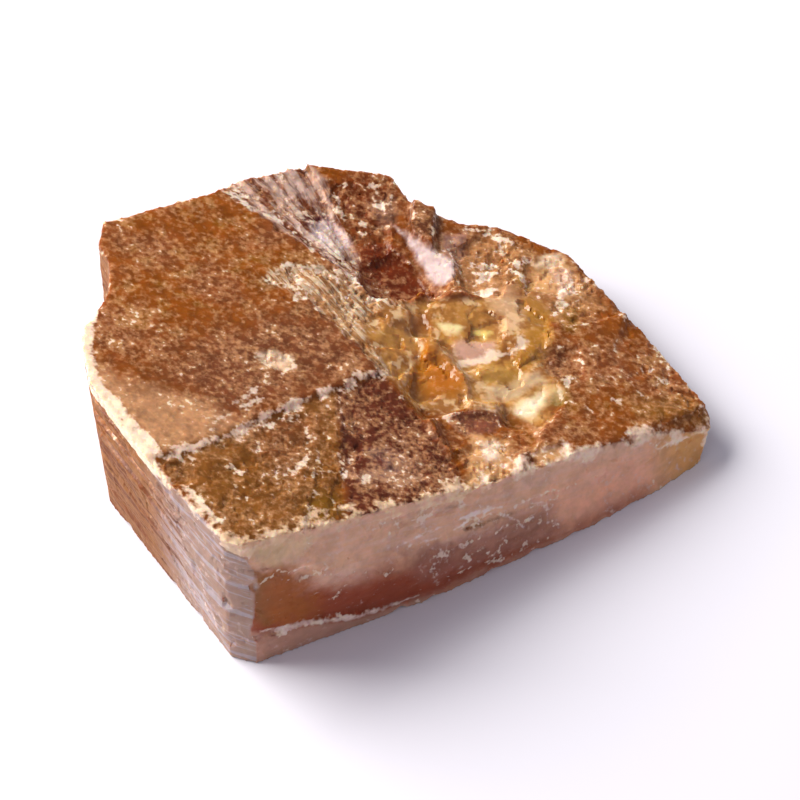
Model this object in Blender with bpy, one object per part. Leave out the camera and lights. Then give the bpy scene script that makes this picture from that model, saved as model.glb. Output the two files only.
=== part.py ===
"""Honey calcite: one rough cleavage block, broken from a larger mass, lying on its flat underside.

The solid is in metres with +Z up; the dimensions below are in millimetres and degrees.
The origin is the middle of the block's footprint, on the surface that it lies on.
+X runs along the longest side, towards the thin end. -Y is the tall front.
"""

import math
import random

import bmesh
import bpy
from mathutils import Matrix, Vector
from mathutils.bvhtree import BVHTree

MM = 0.001

# The blank that the block is cleaved from
BLANK = (90.0, 80.0, 24.0)

# The top cleavage face: its height over the origin, and how far it falls for each mm along +X and +Y
TOP_HEIGHT = 12.0
TOP_FALL_X = 0.2345
TOP_FALL_Y = 0.0978

# The other cleavage faces, clockwise from the tall front corner. Each is held by the plan ends of its
# top edge or of its foot, and leans: positive overhangs its foot, negative spreads towards it.
FACES = {
    "front corner": ("top", (-14.9, -26.2), (-16.6, -25.7), 0.5),
    "left front": ("top", (-15.7, -26.5), (-23.8, -16.8), 0.3),
    "left middle": ("top", (-23.8, -16.8), (-29.3, -8.4), 5.0),
    "left": ("top", (-29.3, -8.4), (-30.3, -2.6), 4.0),
    "left back": ("top", (-30.3, -2.6), (-28.9, 14.4), 2.0),
    "back left": ("top", (-28.9, 14.4), (-10.0, 27.5), -8.0),
    "back": ("top", (-10.0, 27.5), (-2.0, 27.7), -5.0),
    "back right": ("top", (-2.0, 27.7), (16.4, 20.1), -12.0),
    "right back": ("top", (16.4, 20.1), (20.4, 14.8), -10.0),
    "right": ("top", (20.4, 14.8), (27.0, 5.6), -14.0),
    "right end": ("top", (27.0, 5.6), (31.0, -0.6), -2.0),
    "front upper": ("top", (30.2, -0.2), (-15.7, -26.5), -17.0),
    "front lower end": ("foot", (30.8, -0.5), (24.9, -6.2), 0.0),
    "front lower right": ("foot", (24.9, -6.2), (2.6, -18.9), 1.0),
    "front lower left": ("foot", (2.6, -18.9), (-14.3, -26.7), 1.0),
}

# The broken left side is layered: these layers run round from its far corner to the front corner
LAYERED_SIDE = ("top", (-15.7, -26.5), (-29.3, -8.4), 4.0)

# Broken corners of the underside: a point on each, its height and the way out of the stone
UNDERCUTS = (
    ((29.2, 1.0, 1.6), (0.93, 0.10, -0.36)),
    ((22.5, 15.2, 2.2), (0.62, 0.52, -0.58)),
    ((-2.0, 30.2, 2.6), (-0.12, 0.72, -0.68)),
    ((-31.0, 9.0, 2.6), (-0.74, 0.26, -0.62)),
    ((-30.4, -5.0, 2.2), (-0.80, -0.30, -0.52)),
)

# Flakes that broke from the top face. Each point is x, y and its depth under the top cleavage face.
TOP_SCARS = {
    "front_strip": (
        (-2.0, -0.8, 0.40),
        (-6.2, -4.1, 0.32),
        (-10.4, -7.2, 0.30),
        (-15.4, -11.4, 0.34),
        (-18.3, -14.5, 0.28),
        (-23.4, -17.0, 0.22),
        (-27.0, -20.0, 0.20),
        (-17.0, -32.0, 0.45),
        (10.0, -20.0, 0.60),
        (1.4, -5.4, 0.50),
    ),
    "dark_patch": (
        (-5.8, -4.3, 0.50),
        (-2.0, -1.2, 0.62),
        (1.0, -5.1, 0.85),
        (4.7, -10.9, 0.80),
        (6.6, -17.0, 0.66),
        (3.0, -24.0, 0.62),
        (-6.0, -26.0, 0.52),
        (-5.3, -13.0, 0.60),
    ),
    "front_left_flake": (
        (-14.6, -12.2, 0.30),
        (-9.2, -8.2, 0.46),
        (-8.8, -13.5, 0.56),
        (-12.6, -19.0, 0.46),
        (-17.5, -18.6, 0.36),
    ),
    "front_strip_lip": (
        (-7.6, -15.2, 0.45),
        (-5.6, -14.8, 0.66),
        (-5.0, -24.0, 0.72),
        (-9.5, -26.0, 0.62),
    ),
    "honey_window": (
        (-8.7, 7.9, 0.10),
        (-5.3, 3.9, 0.30),
        (-2.0, -0.4, 0.55),
        (1.0, -4.7, 0.90),
        (8.7, -4.2, 0.80),
        (15.0, -1.2, 0.45),
        (13.6, 4.6, 0.40),
        (14.0, 9.4, 0.35),
        (9.8, 12.0, 0.50),
        (0.6, 10.4, 0.75),
        (-4.5, 9.2, 0.40),
    ),
    "pale_fringe": (
        (-9.4, 8.6, 0.14),
        (-13.0, 9.2, 0.05),
        (-11.2, 11.8, 0.12),
        (-6.4, 12.0, 0.32),
        (-3.0, 9.4, 0.80),
        (-0.9, 1.6, 0.92),
        (-2.2, -0.2, 0.62),
        (-5.6, 4.4, 0.36),
    ),
    "amber_left": (
        (-1.0, 1.6, 0.80),
        (1.0, -4.7, 1.20),
        (1.7, 0.2, 1.75),
        (1.9, 4.2, 1.60),
        (0.2, 7.4, 1.05),
        (-2.6, 4.8, 0.75),
    ),
    "orange_pit": (
        (1.4, 2.6, 1.50),
        (1.0, -1.6, 2.20),
        (2.4, -4.4, 2.60),
        (5.7, -2.6, 2.10),
        (6.1, -0.2, 1.30),
        (3.6, 2.4, 1.20),
    ),
    "rose_facet": (
        (3.8, 5.8, 1.85),
        (6.2, 2.3, 1.60),
        (11.0, 3.2, 0.75),
        (11.5, 5.8, 0.55),
        (8.2, 8.0, 1.00),
    ),
    "gold_top": (
        (1.0, 9.8, 0.85),
        (1.4, 6.4, 1.95),
        (4.4, 6.2, 1.60),
        (9.4, 6.9, 1.25),
        (9.9, 9.6, 0.60),
        (5.6, 11.2, 0.55),
    ),
    "gold_low": (
        (6.4, 2.0, 1.05),
        (6.6, -1.4, 1.90),
        (10.2, -1.2, 1.70),
        (12.4, 1.7, 0.70),
        (11.0, 3.1, 0.65),
    ),
    "glint_step": (
        (9.8, -1.4, 1.60),
        (10.1, -4.3, 2.05),
        (12.8, -4.9, 1.50),
        (15.3, -1.4, 0.45),
        (14.4, 3.1, 0.35),
        (12.2, 1.2, 1.00),
    ),
    "brown_facet": (
        (3.5, -4.9, 1.55),
        (8.5, -3.9, 1.25),
        (12.8, -5.6, 0.50),
        (12.3, -8.5, 0.45),
        (6.6, -9.1, 1.05),
        (4.4, -8.6, 1.30),
    ),
    "pale_patch": (
        (4.9, -9.8, 0.95),
        (7.4, -8.4, 0.90),
        (10.3, -7.9, 0.55),
        (11.2, -12.0, 0.50),
        (9.0, -17.0, 0.85),
        (5.8, -16.5, 1.05),
    ),
    "pale_small": (
        (12.2, -8.6, 0.55),
        (15.4, -7.0, 0.30),
        (16.4, -10.4, 0.42),
        (12.4, -12.6, 0.62),
    ),
    "dark_spot": (
        (13.2, 5.6, 0.50),
        (14.2, 2.5, 0.85),
        (17.4, 2.7, 0.40),
        (17.0, 6.4, 0.22),
    ),
    "back_right_shelf": (
        (4.4, 12.2, 0.95),
        (9.8, 12.0, 0.60),
        (13.0, 9.4, 0.45),
        (17.4, 9.8, 0.35),
        (24.0, 14.0, 0.40),
        (17.0, 24.0, 0.70),
        (3.6, 26.0, 0.90),
        (3.2, 18.0, 1.05),
    ),
    "back_white_flakes": (
        (12.2, 18.4, 1.10),
        (12.3, 14.6, 1.45),
        (15.2, 14.2, 0.95),
        (16.8, 16.4, 0.60),
        (14.9, 19.4, 0.62),
    ),
    "back_right_groove": (
        (5.2, 18.4, 1.60),
        (6.4, 13.4, 1.85),
        (9.2, 12.6, 1.25),
        (10.4, 16.2, 1.00),
        (9.0, 22.5, 1.10),
    ),
    "hollow_slope": (
        (-11.0, 28.6, 0.30),
        (-7.2, 20.4, 1.70),
        (-5.4, 15.4, 2.60),
        (-1.0, 14.8, 3.10),
        (1.6, 14.6, 2.60),
        (0.6, 19.2, 1.60),
        (1.2, 28.8, 0.40),
    ),
    "hollow_slope_step": (
        (-6.8, 25.3, 1.00),
        (-4.6, 18.4, 2.35),
        (-1.6, 17.4, 2.50),
        (-1.4, 21.4, 1.60),
        (-2.6, 25.8, 0.90),
    ),
    "dark_hollow": (
        (-3.9, 11.6, 3.10),
        (-2.6, 10.0, 3.60),
        (0.6, 10.9, 4.10),
        (3.2, 12.8, 3.50),
        (1.5, 16.0, 3.10),
        (-1.1, 17.8, 2.90),
        (-3.8, 15.4, 3.00),
    ),
    "hollow_blade": (
        (-0.2, 20.8, 1.50),
        (1.4, 16.4, 2.70),
        (2.9, 13.0, 2.90),
        (4.0, 13.0, 2.00),
        (5.0, 15.2, 0.90),
        (4.4, 17.0, 0.85),
        (2.4, 18.4, 1.00),
    ),
    "left_rim_bay": (
        (-29.2, 10.4, 20.0),
        (-28.2, 8.2, 20.0),
        (-28.0, 4.2, 20.0),
        (-29.6, -0.4, 20.0),
        (-36.0, -0.4, 20.0),
        (-36.0, 10.4, 20.0),
    ),
    "back_rim_bay": (
        (-1.4, 28.4, 20.0),
        (1.0, 24.4, 20.0),
        (5.6, 22.8, 20.0),
        (9.4, 23.0, 20.0),
        (15.0, 25.4, 20.0),
        (12.0, 31.0, 20.0),
        (-2.0, 31.0, 20.0),
    ),
    "back_left_bay": (
        (-30.0, 13.2, 20.0),
        (-18.3, 20.8, 20.0),
        (-16.4, 23.2, 20.0),
        (-18.0, 30.0, 20.0),
        (-34.0, 24.0, 20.0),
    ),
    "left_bruise": (
        (-27.4, -10.0, 0.05),
        (-22.4, -16.4, 0.10),
        (-24.5, -20.5, 0.95),
        (-31.0, -12.0, 0.95),
    ),
    "front_corner_bruise": (
        (-21.2, -17.8, 0.35),
        (-15.2, -25.4, 0.40),
        (-16.5, -29.0, 1.00),
        (-25.0, -21.0, 0.80),
    ),
    "main_small_flake": (
        (-13.7, -1.5, 0.10),
        (-11.4, -3.0, 0.26),
        (-10.3, -1.4, 0.18),
        (-12.1, -0.1, 0.05),
    ),
    "left_corner_notch": (
        (-21.4, -16.0, 0.20),
        (-19.6, -16.2, 0.62),
        (-19.8, -19.0, 0.90),
        (-23.6, -20.0, 1.10),
        (-24.0, -17.4, 0.55),
    ),
    "right_corner_flake": (
        (20.5, 6.0, 0.08),
        (23.6, 0.8, 0.20),
        (33.0, 0.0, 0.55),
        (27.0, 11.0, 0.80),
        (22.5, 12.5, 0.60),
    ),
    "right_tip_break": (
        (22.4, -4.7, 0.02),
        (28.0, -0.2, 0.55),
        (29.4, 1.6, 0.80),
        (33.0, 1.4, 3.20),
        (33.0, -3.6, 3.90),
        (26.0, -5.8, 1.70),
    ),
}
MOUTH_HEIGHT = 4.0  # how far a top scar's cutter stands over the top face
GENTLE_WALL = 0.8  # how far a scar's wall leans back for each mm that it rises
STEEP_WALL = 0.15
STEEP_SCARS = ("front_strip", "dark_hollow", "hollow_slope", "back_right_shelf")
BAYS = ("left_rim_bay", "back_rim_bay", "back_left_bay")  # these break through to the foot

# Flakes that broke from the sides. Each point is its distance along the face's held edge, its distance
# away from that edge and its depth in the stone.
SIDE_SCARS = {
    "amber_window": (
        "front lower left",
        (
            (8.2, 11.0, 0.02),
            (8.8, 7.0, 0.14),
            (10.6, 4.0, 0.16),
            (16.4, 4.8, 0.14),
            (20.0, 11.0, 0.12),
            (14.0, 13.2, 0.02),
        ),
    ),
    "foot_strip": (
        "front lower left",
        (
            (21.0, 3.9, 0.50),
            (11.0, 3.2, 0.44),
            (5.2, 1.4, 0.34),
            (1.0, 0.5, 0.16),
            (1.5, 4.5, -0.10),
            (10.0, 8.6, -0.10),
            (21.0, 9.6, -0.10),
        ),
    ),
    "front_white_step": (
        "front upper",
        ((12.6, 3.4, -0.05), (28.1, 4.7, 0.16), (28.6, 5.5, 0.24), (14.6, 4.4, -0.08)),
    ),
    "front_long_step": (
        "front upper",
        ((19.6, 6.1, 0.16), (39.6, 8.2, -0.10), (36.6, 9.4, -0.10), (19.6, 7.6, 0.10)),
    ),
    "front_fine_step": (
        "front upper",
        ((29.6, 1.8, 0.14), (43.6, 2.5, -0.06), (42.6, 3.2, -0.06), (28.6, 2.6, 0.08)),
    ),
    "front_low_step": (
        "front lower right",
        ((2.0, 0.7, 0.02), (17.0, 1.3, 0.18), (26.0, 2.4, -0.06), (16.0, 3.4, -0.06), (3.0, 1.8, -0.06)),
    ),
    "end_peach_flake": (
        "front upper",
        ((-1.4, 1.8, 0.60), (5.2, 2.0, 0.22), (8.2, 3.8, -0.05), (5.6, 6.5, 0.05), (-1.4, 6.5, 0.75)),
    ),
    "back_left_terrace": (
        "back left",
        ((-1.0, 1.1, 1.30), (9.5, 1.4, 0.95), (12.0, 4.9, 0.75), (4.0, 6.4, 0.95), (-1.0, 5.6, 1.30)),
    ),
    "back_left_slab": (
        "back left",
        ((8.0, 5.2, 0.25), (26.0, 3.4, 1.60), (26.0, 8.4, 1.75), (9.0, 8.8, 0.60)),
    ),
    "back_left_foot": (
        "back left",
        ((2.0, 9.6, 0.95), (15.0, 9.8, 0.10), (14.0, 12.2, 0.15), (2.0, 13.0, 1.25)),
    ),
    "back_slab": (
        "back",
        ((-1.0, 3.2, 1.10), (9.0, 3.8, 0.40), (9.0, 6.4, 0.60), (-1.0, 6.8, 1.20)),
    ),
    "back_right_slab": (
        "back right",
        ((5.0, 1.6, 0.05), (21.5, 2.0, 1.30), (21.5, 4.4, 1.45), (6.0, 4.6, 0.30)),
    ),
    "back_right_foot": (
        "back right",
        ((-1.0, 5.0, 1.25), (11.0, 5.6, 0.10), (10.0, 7.4, 0.12), (-1.0, 7.6, 1.40)),
    ),
    "right_slab": (
        "right",
        ((-1.0, 1.8, 1.20), (9.0, 2.0, 0.10), (8.0, 3.3, 0.12), (-1.0, 3.6, 1.35)),
    ),
    "left_back_slab": (
        "left back",
        ((-1.0, 3.4, 0.80), (12.0, 4.0, -0.05), (11.5, 6.6, -0.05), (-1.0, 7.4, 0.95)),
    ),
    "left_back_foot": (
        "left back",
        ((4.0, 9.4, -0.05), (19.0, 8.6, 1.00), (19.0, 12.2, 1.20), (5.0, 12.6, 0.05)),
    ),
}

# The layers of the left side. Each row: where the layer ends along the side, how far its broken edge is
# under the rim there and at the far corner, its thickness there, and how far it is broken back.
LEFT_LAYERS = (
    (5.0, 1.0, 0.7, 0.9, 0.70),
    (2.0, 2.0, 2.1, 0.8, 1.20),
    (8.0, 3.1, 3.2, 0.7, 0.75),
    (0.5, 3.7, 4.6, 1.1, 1.70),
    (6.0, 5.0, 6.3, 0.8, 1.00),
    (3.0, 6.2, 7.5, 1.5, 1.55),
    (9.5, 8.3, 9.7, 0.9, 0.80),
    (7.0, 10.2, 11.4, 1.6, 1.25),
    (11.0, 12.6, 14.1, 1.5, 0.80),
)
LAYER_RUN_OUT = -1.3  # the depth where a layer's ledge has long run out of the stone
LAYER_THINNING = 0.35  # the share of its thickness that a layer keeps there

# The furrowed wall between the ridge and the hollow: its plan at the back edge and at the hollow,
# the share of its width where each furrow starts, and the furrows' shallow and deep sides at both ends
WALL_BACK = ((-18.2, 21.6), (-10.4, 28.9))
WALL_FRONT = ((-4.4, 11.6), (-4.0, 15.6))
WALL_SHARES = (0.0, 0.13, 0.22, 0.37, 0.52, 0.60, 0.79, 1.0)
WALL_SHALLOW = (0.05, 0.30)
WALL_DEEP = (0.95, 2.50)
FURROW_STEP = 0.42  # the height of a furrow's steep side
FURROW_LAP = 0.013  # the share of the wall's width by which a furrow runs under the next
FURROW_ENDS = (0.0, 0.9, 0.35, 1.3)  # how far furrows run on, by turns

# Splinters lost from broken ground. Each row: plan centre, plan reach, how many, shortest and longest.
SPLINTER_SEEDS = (23, 57)  # one for each round of splinters; a round's splinters stand clear of each other
SPLINTER_FIELDS = (
    ((6.5, 3.0), (7.5, 6.5), 60, 1.5, 3.8),
    ((-3.2, 20.5), (4.6, 4.6), 26, 1.4, 3.2),
    ((12.0, 15.0), (8.0, 4.5), 40, 1.4, 3.8),
    ((-6.5, 8.5), (5.0, 3.2), 22, 1.1, 2.6),
    ((8.0, -11.0), (5.0, 3.8), 20, 1.2, 3.0),
    ((-10.0, 20.5), (5.0, 3.2), 10, 1.2, 2.6),
    ((-11.0, -15.0), (9.0, 5.0), 16, 1.4, 3.4),
    ((21.0, 2.0), (7.0, 7.0), 10, 1.2, 3.0),
)
SPLINTER_WIDTH = 0.42  # share of its length
SPLINTER_DEPTH = 0.085
SPLINTER_RING = ((-0.45, -1.0), (1.0, 0.30), (0.8, 1.6), (-0.80, 1.4))  # shares of its width and depth
SPLINTER_SKEW = 0.18  # share of its length
SPLINTER_UPRIGHT = 0.5  # splinters are lost only from ground that faces up by more than this

# Chips lost from the edges by knocks
CHIP_SEED = 7
CHIP_LENGTHS = (0.6, 3.6)
CHIP_DEPTHS = (0.12, 0.55)
CHIP_GAPS = (0.1, 2.6)
CHIP_RING = ((-1.5, -1.0), (1.5, -1.0), (1.7, 1.1), (-1.7, 1.1))  # across and out, as shares of its depth
CHIP_SKEW = 0.22  # share of its length
CHIP_ROLL = 0.6  # share of its depth
CHIP_REACH = 2.1  # how far a chip's cutter reaches from its middle, for each mm of depth
CRUMBLE_WAY = (0.30, -0.55, 0.78)
TIP_LIFT = {"chip": 0.25, "splinter": 0.3}  # how far a cutter's tips stand out of the stone, by its depth
SHORTEST_EDGE = 2.0
CLEARANCE = 1.05
SIDE_MOUTH = 5.0  # how far a side scar's cutter reaches out of the stone

# Rims that crumbled: x, y of both ends, their depth under the top cleavage face, and the gap of chips
CRUMBLED_RIMS = (
    ((13.5, -9.8, 0.25), (29.5, -0.7, 0.20), 0.15),
    ((-15.4, -11.4, 0.12), (-2.4, -1.1, 0.16), 0.9),
    ((-8.7, 7.9, 0.10), (-2.2, -0.2, 0.35), 0.5),
    ((-17.5, 21.0, 0.10), (-5.3, 12.6, 0.25), 0.7),
)

HONEY = (0.392, 0.137, 0.033, 1.0)
STONE_ROUGHNESS = 0.38


def clear_scene():
    for item in list(bpy.data.objects):
        bpy.data.objects.remove(item)


def on_top(x, y, depth=0.0):
    """A point over plan point x, y, at a depth under the top cleavage face."""
    return Vector((x, y, TOP_HEIGHT - TOP_FALL_X * x - TOP_FALL_Y * y - depth)) * MM


def face_frame(level, start, end, lean):
    """A side face's corner, the way along its held edge, the way across the face and the way out."""
    if level == "top":
        corner, far = on_top(*start), on_top(*end)
    else:
        corner, far = Vector((*start, 0.0)) * MM, Vector((*end, 0.0)) * MM
    along = (far - corner).normalized()
    flat = Vector((-along.y, along.x, 0.0)).normalized()
    tilt = math.radians(lean)
    outward = flat * math.cos(tilt) - Vector((0.0, 0.0, math.sin(tilt)))
    outward = (outward - along * outward.dot(along)).normalized()
    across = outward.cross(along)
    if (across.z > 0.0) == (level == "top"):
        across.negate()
    return corner, along, across, outward


def linked_object(name, shape):
    """A new object in the scene that holds the given bmesh."""
    bmesh.ops.recalc_face_normals(shape, faces=shape.faces[:])
    mesh = bpy.data.meshes.new(name)
    shape.to_mesh(mesh)
    shape.free()
    item = bpy.data.objects.new(name, mesh)
    bpy.context.scene.collection.objects.link(item)
    return item


def cleave(block, point, outward):
    """Splits the block along a plane, drops what lies outwards of it and closes the cut."""
    cut = bmesh.ops.bisect_plane(
        block,
        geom=block.verts[:] + block.edges[:] + block.faces[:],
        dist=1e-7,
        plane_co=point,
        plane_no=outward,
        clear_outer=True,
    )
    rim = [part for part in cut["geom_cut"] if isinstance(part, bmesh.types.BMEdge)]
    if rim:
        bmesh.ops.contextual_create(block, geom=rim)


def cleaved_block():
    """The block with its main cleavage faces only."""
    block = bmesh.new()
    bmesh.ops.create_cube(block, size=1.0)
    bmesh.ops.scale(block, vec=Vector(BLANK) * MM, verts=block.verts)
    bmesh.ops.translate(block, vec=(0.0, 0.0, BLANK[2] / 2 * MM), verts=block.verts)
    cleave(block, on_top(0.0, 0.0), Vector((TOP_FALL_X, TOP_FALL_Y, 1.0)))
    for level, start, end, lean in FACES.values():
        corner, _, _, outward = face_frame(level, start, end, lean)
        cleave(block, corner, outward)
    for point, outward in UNDERCUTS:
        cleave(block, Vector(point) * MM, Vector(outward))
    return block


def swept_cutter(name, floor, sweep, lean_back):
    """A closed cutter: the floor of a scar, swept out of the stone to a wider mouth."""
    shape = bmesh.new()
    middle = sum(floor, Vector()) / len(floor)
    spread = sweep.length * lean_back
    lower = [shape.verts.new(point) for point in floor]
    upper = [shape.verts.new(point + (point - middle).normalized() * spread + sweep) for point in floor]
    shape.faces.new(lower)
    shape.faces.new(reversed(upper))
    for index in range(len(floor)):
        after = (index + 1) % len(floor)
        shape.faces.new((lower[index], lower[after], upper[after], upper[index]))
    bmesh.ops.triangulate(shape, faces=shape.faces[:])
    return linked_object(name, shape)


def wall_lean(scar):
    if scar in BAYS:
        return 0.0
    return STEEP_WALL if scar in STEEP_SCARS else GENTLE_WALL


def top_scar_cutters():
    """One cutter for each flake that is missing from the top face."""
    for name, points in TOP_SCARS.items():
        floor = [on_top(*point) for point in points]
        deepest = max(depth for _, _, depth in points)
        sweep = Vector((0.0, 0.0, MOUTH_HEIGHT + deepest)) * MM
        yield swept_cutter(name, floor, sweep, wall_lean(name))


def face_cutter(name, frame, points, lean_back):
    """A cutter whose floor is given along, across and into a side face."""
    corner, along, across, outward = frame
    floor = [corner + (along * u + across * v - outward * depth) * MM for u, v, depth in points]
    return swept_cutter(name, floor, outward * SIDE_MOUTH * MM, lean_back)


def side_scar_cutters():
    for name, (face, points) in SIDE_SCARS.items():
        yield face_cutter(name, face_frame(*FACES[face]), points, GENTLE_WALL)


def layer_cutters():
    """Thin wedges out of the left side, deepest at its far corner, thinning towards the front corner."""
    frame = face_frame(*LAYERED_SIDE)
    far = (Vector(LAYERED_SIDE[2]) - Vector(LAYERED_SIDE[1])).length + 3.0
    for index, (reach, near_level, far_level, thickness, set_back) in enumerate(LEFT_LAYERS):
        points = (
            (reach, near_level, LAYER_RUN_OUT),
            (far, far_level, set_back),
            (far, far_level + thickness, set_back * 0.7),
            (reach, near_level + thickness * LAYER_THINNING, LAYER_RUN_OUT),
        )
        yield face_cutter(f"left_layer_{index}", frame, points, 0.0)


def furrow_cutters():
    """Long furrows, side by side, from the ridge down to the hollow. Each has one steep side."""
    back = [Vector(point) for point in WALL_BACK]
    front = [Vector(point) for point in WALL_FRONT]
    for index, (first, second) in enumerate(zip(WALL_SHARES, WALL_SHARES[1:])):
        corners = []
        for share, extra in ((first, 0.0), (second + FURROW_LAP, FURROW_STEP)):
            at_back = back[0].lerp(back[1], share)
            at_front = front[0].lerp(front[1], share)
            at_front += (at_front - at_back).normalized() * FURROW_ENDS[index % len(FURROW_ENDS)]
            deep_back = WALL_SHALLOW[0] + (WALL_DEEP[0] - WALL_SHALLOW[0]) * share + extra
            deep_front = WALL_SHALLOW[1] + (WALL_DEEP[1] - WALL_SHALLOW[1]) * share + extra
            corners.append((on_top(*at_back, deep_back), on_top(*at_front, deep_front)))
        (near_back, near_front), (far_back, far_front) = corners
        floor = [near_back, near_front, far_front, far_back]
        sweep = Vector((0.0, 0.0, MOUTH_HEIGHT + WALL_DEEP[1])) * MM
        yield swept_cutter(f"furrow_{index}", floor, sweep, 0.0)


def add_hull(shape, tips, ring):
    """A closed spindle: a ring of points with a tip at each end."""
    first, last = (shape.verts.new(tip) for tip in tips)
    around = [shape.verts.new(point) for point in ring]
    for index, point in enumerate(around):
        after = around[(index + 1) % len(around)]
        shape.faces.new((first, point, after))
        shape.faces.new((last, after, point))


def free_of(taken, centre, reach):
    """Whether a cutter of that reach stands clear of the ones before it; if so, it's noted."""
    if any((centre - other).length < CLEARANCE * (reach + other_reach) for other, other_reach in taken):
        return False
    taken.append((centre, reach))
    return True


def add_chip(shape, chance, middle, along, outward, length, depth):
    """A spindle over an edge: it takes a bevel that tapers to nothing at both ends."""
    side = outward.cross(along).normalized()
    skew = chance.uniform(-CHIP_SKEW, CHIP_SKEW) * length
    lifted = middle + outward * TIP_LIFT["chip"] * depth
    roll = chance.uniform(-CHIP_ROLL, CHIP_ROLL)
    tips = [lifted - along * length / 2, lifted + along * length / 2]
    ring = []
    for (across, height), rolled in zip(CHIP_RING, (-roll, roll, 0.0, 0.0)):
        ring.append(middle + along * skew + side * across * depth + outward * (height + rolled) * depth)
        skew += chance.uniform(-0.10, 0.10) * length
    add_hull(shape, tips, ring)


def chip_row(shape, chance, taken, start, end, outward, gaps):
    """Chips of all sizes, one after another, along an edge."""
    along = (end - start).normalized()
    reach = chance.uniform(*gaps) * MM
    while reach < (end - start).length:
        share = chance.random() ** 2.2
        length = (CHIP_LENGTHS[0] + (CHIP_LENGTHS[1] - CHIP_LENGTHS[0]) * share) * MM
        depth = (CHIP_DEPTHS[0] + (CHIP_DEPTHS[1] - CHIP_DEPTHS[0]) * share * chance.uniform(0.5, 1.0)) * MM
        middle = start + along * (reach + length / 2)
        reach += length + chance.uniform(*gaps) * MM
        if free_of(taken, middle, max(length / 2, CHIP_REACH * depth)):
            add_chip(shape, chance, middle, along, outward, length, depth)


def chip_cutter(edges):
    """The chips of every edge in one mesh. None touches another, so that they cut cleanly together."""
    chance = random.Random(CHIP_SEED)
    shape = bmesh.new()
    taken = []
    for start, end, gap in CRUMBLED_RIMS:
        outward = Vector(CRUMBLE_WAY).normalized()
        chip_row(shape, chance, taken, on_top(*start), on_top(*end), outward, (0.3 * gap, gap))
    for start, end, outward in edges:
        chip_row(shape, chance, taken, start, end, outward, CHIP_GAPS)
    return linked_object("edge_chips", shape)


def block_edges(block):
    """The ends and the way out of each edge that's long enough to be knocked."""
    bmesh.ops.recalc_face_normals(block, faces=block.faces[:])
    edges = []
    for edge in block.edges:
        if edge.calc_length() > SHORTEST_EDGE * MM:
            outward = (edge.link_faces[0].normal + edge.link_faces[1].normal).normalized()
            edges.append((edge.verts[0].co.copy(), edge.verts[1].co.copy(), outward))
    return edges


def add_splinter(shape, chance, point, normal, length):
    """A spindle that lies in a surface: it leaves a small steep wall and a long gentle floor."""
    heading = chance.uniform(0.0, math.tau)
    across = normal.orthogonal().normalized()
    along = Matrix.Rotation(heading, 3, normal) @ across
    side = normal.cross(along)
    depth = SPLINTER_DEPTH * length * chance.uniform(0.5, 1.3)
    width = SPLINTER_WIDTH * length * chance.uniform(0.6, 1.4)
    lifted = point + normal * depth * TIP_LIFT["splinter"]
    tips = [lifted - along * length / 2, lifted + along * length / 2]
    ring = []
    for reach, height in SPLINTER_RING:
        skew = along * chance.uniform(-SPLINTER_SKEW, SPLINTER_SKEW) * length
        ring.append(point + skew + side * reach * width + normal * height * depth)
    add_hull(shape, tips, ring)


def splinter_cutter(surface, seed):
    """One round of splinters, set on the surface of the stone as it's broken so far."""
    chance = random.Random(seed)
    shape = bmesh.new()
    taken = []
    for (x, y), (reach_x, reach_y), count, shortest, longest in SPLINTER_FIELDS:
        for _ in range(count):
            heading = chance.uniform(0.0, math.tau)
            distance = math.sqrt(chance.random())
            plan = (x + reach_x * distance * math.cos(heading), y + reach_y * distance * math.sin(heading))
            length = (shortest + (longest - shortest) * chance.random() ** 1.6) * MM
            point, normal, _, _ = surface.ray_cast(on_top(*plan, -10.0), Vector((0.0, 0.0, -1.0)))
            if point is not None and normal.z > SPLINTER_UPRIGHT and free_of(taken, point, length / 2):
                add_splinter(shape, chance, point, normal, length)
    return linked_object(f"splinters_{seed}", shape)


def cut_from(stone, cutter):
    """Adds a Boolean that takes the cutter out of the stone, and hides the cutter."""
    cutter.hide_render = True
    cutter.display_type = "WIRE"
    boolean = stone.modifiers.new(cutter.name, "BOOLEAN")
    boolean.operation = "DIFFERENCE"
    boolean.solver = "EXACT"
    boolean.object = cutter


def centre_on_footprint(stone):
    """Moves the stone and its cutters together, so that the origin is the middle of the footprint."""
    bpy.context.view_layer.update()
    broken = stone.evaluated_get(bpy.context.evaluated_depsgraph_get())
    corners = [Vector(corner) for corner in broken.bound_box]
    low = Vector(min(corner[axis] for corner in corners) for axis in range(3))
    high = Vector(max(corner[axis] for corner in corners) for axis in range(3))
    for item in bpy.context.scene.objects:
        item.location = (-(low.x + high.x) / 2, -(low.y + high.y) / 2, -low.z)


def honey_material():
    material = bpy.data.materials.new("honey_calcite")
    material.use_nodes = True
    shader = material.node_tree.nodes["Principled BSDF"]
    shader.inputs["Base Color"].default_value = HONEY
    shader.inputs["Roughness"].default_value = STONE_ROUGHNESS
    shader.inputs["Metallic"].default_value = 0.0
    return material


def build():
    clear_scene()
    block = cleaved_block()
    edges = block_edges(block)
    stone = linked_object("calcite_block", block)
    cutters = [*side_scar_cutters(), *layer_cutters(), *top_scar_cutters(), *furrow_cutters()]
    for cutter in cutters:
        cut_from(stone, cutter)
    surface = BVHTree.FromObject(stone, bpy.context.evaluated_depsgraph_get())
    for seed in SPLINTER_SEEDS:
        cut_from(stone, splinter_cutter(surface, seed))
    cut_from(stone, chip_cutter(edges))
    centre_on_footprint(stone)
    stone.data.materials.append(honey_material())


build()
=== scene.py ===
import math

import bmesh
import bpy
import numpy as np
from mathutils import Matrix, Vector, noise
from mathutils.kdtree import KDTree


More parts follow.
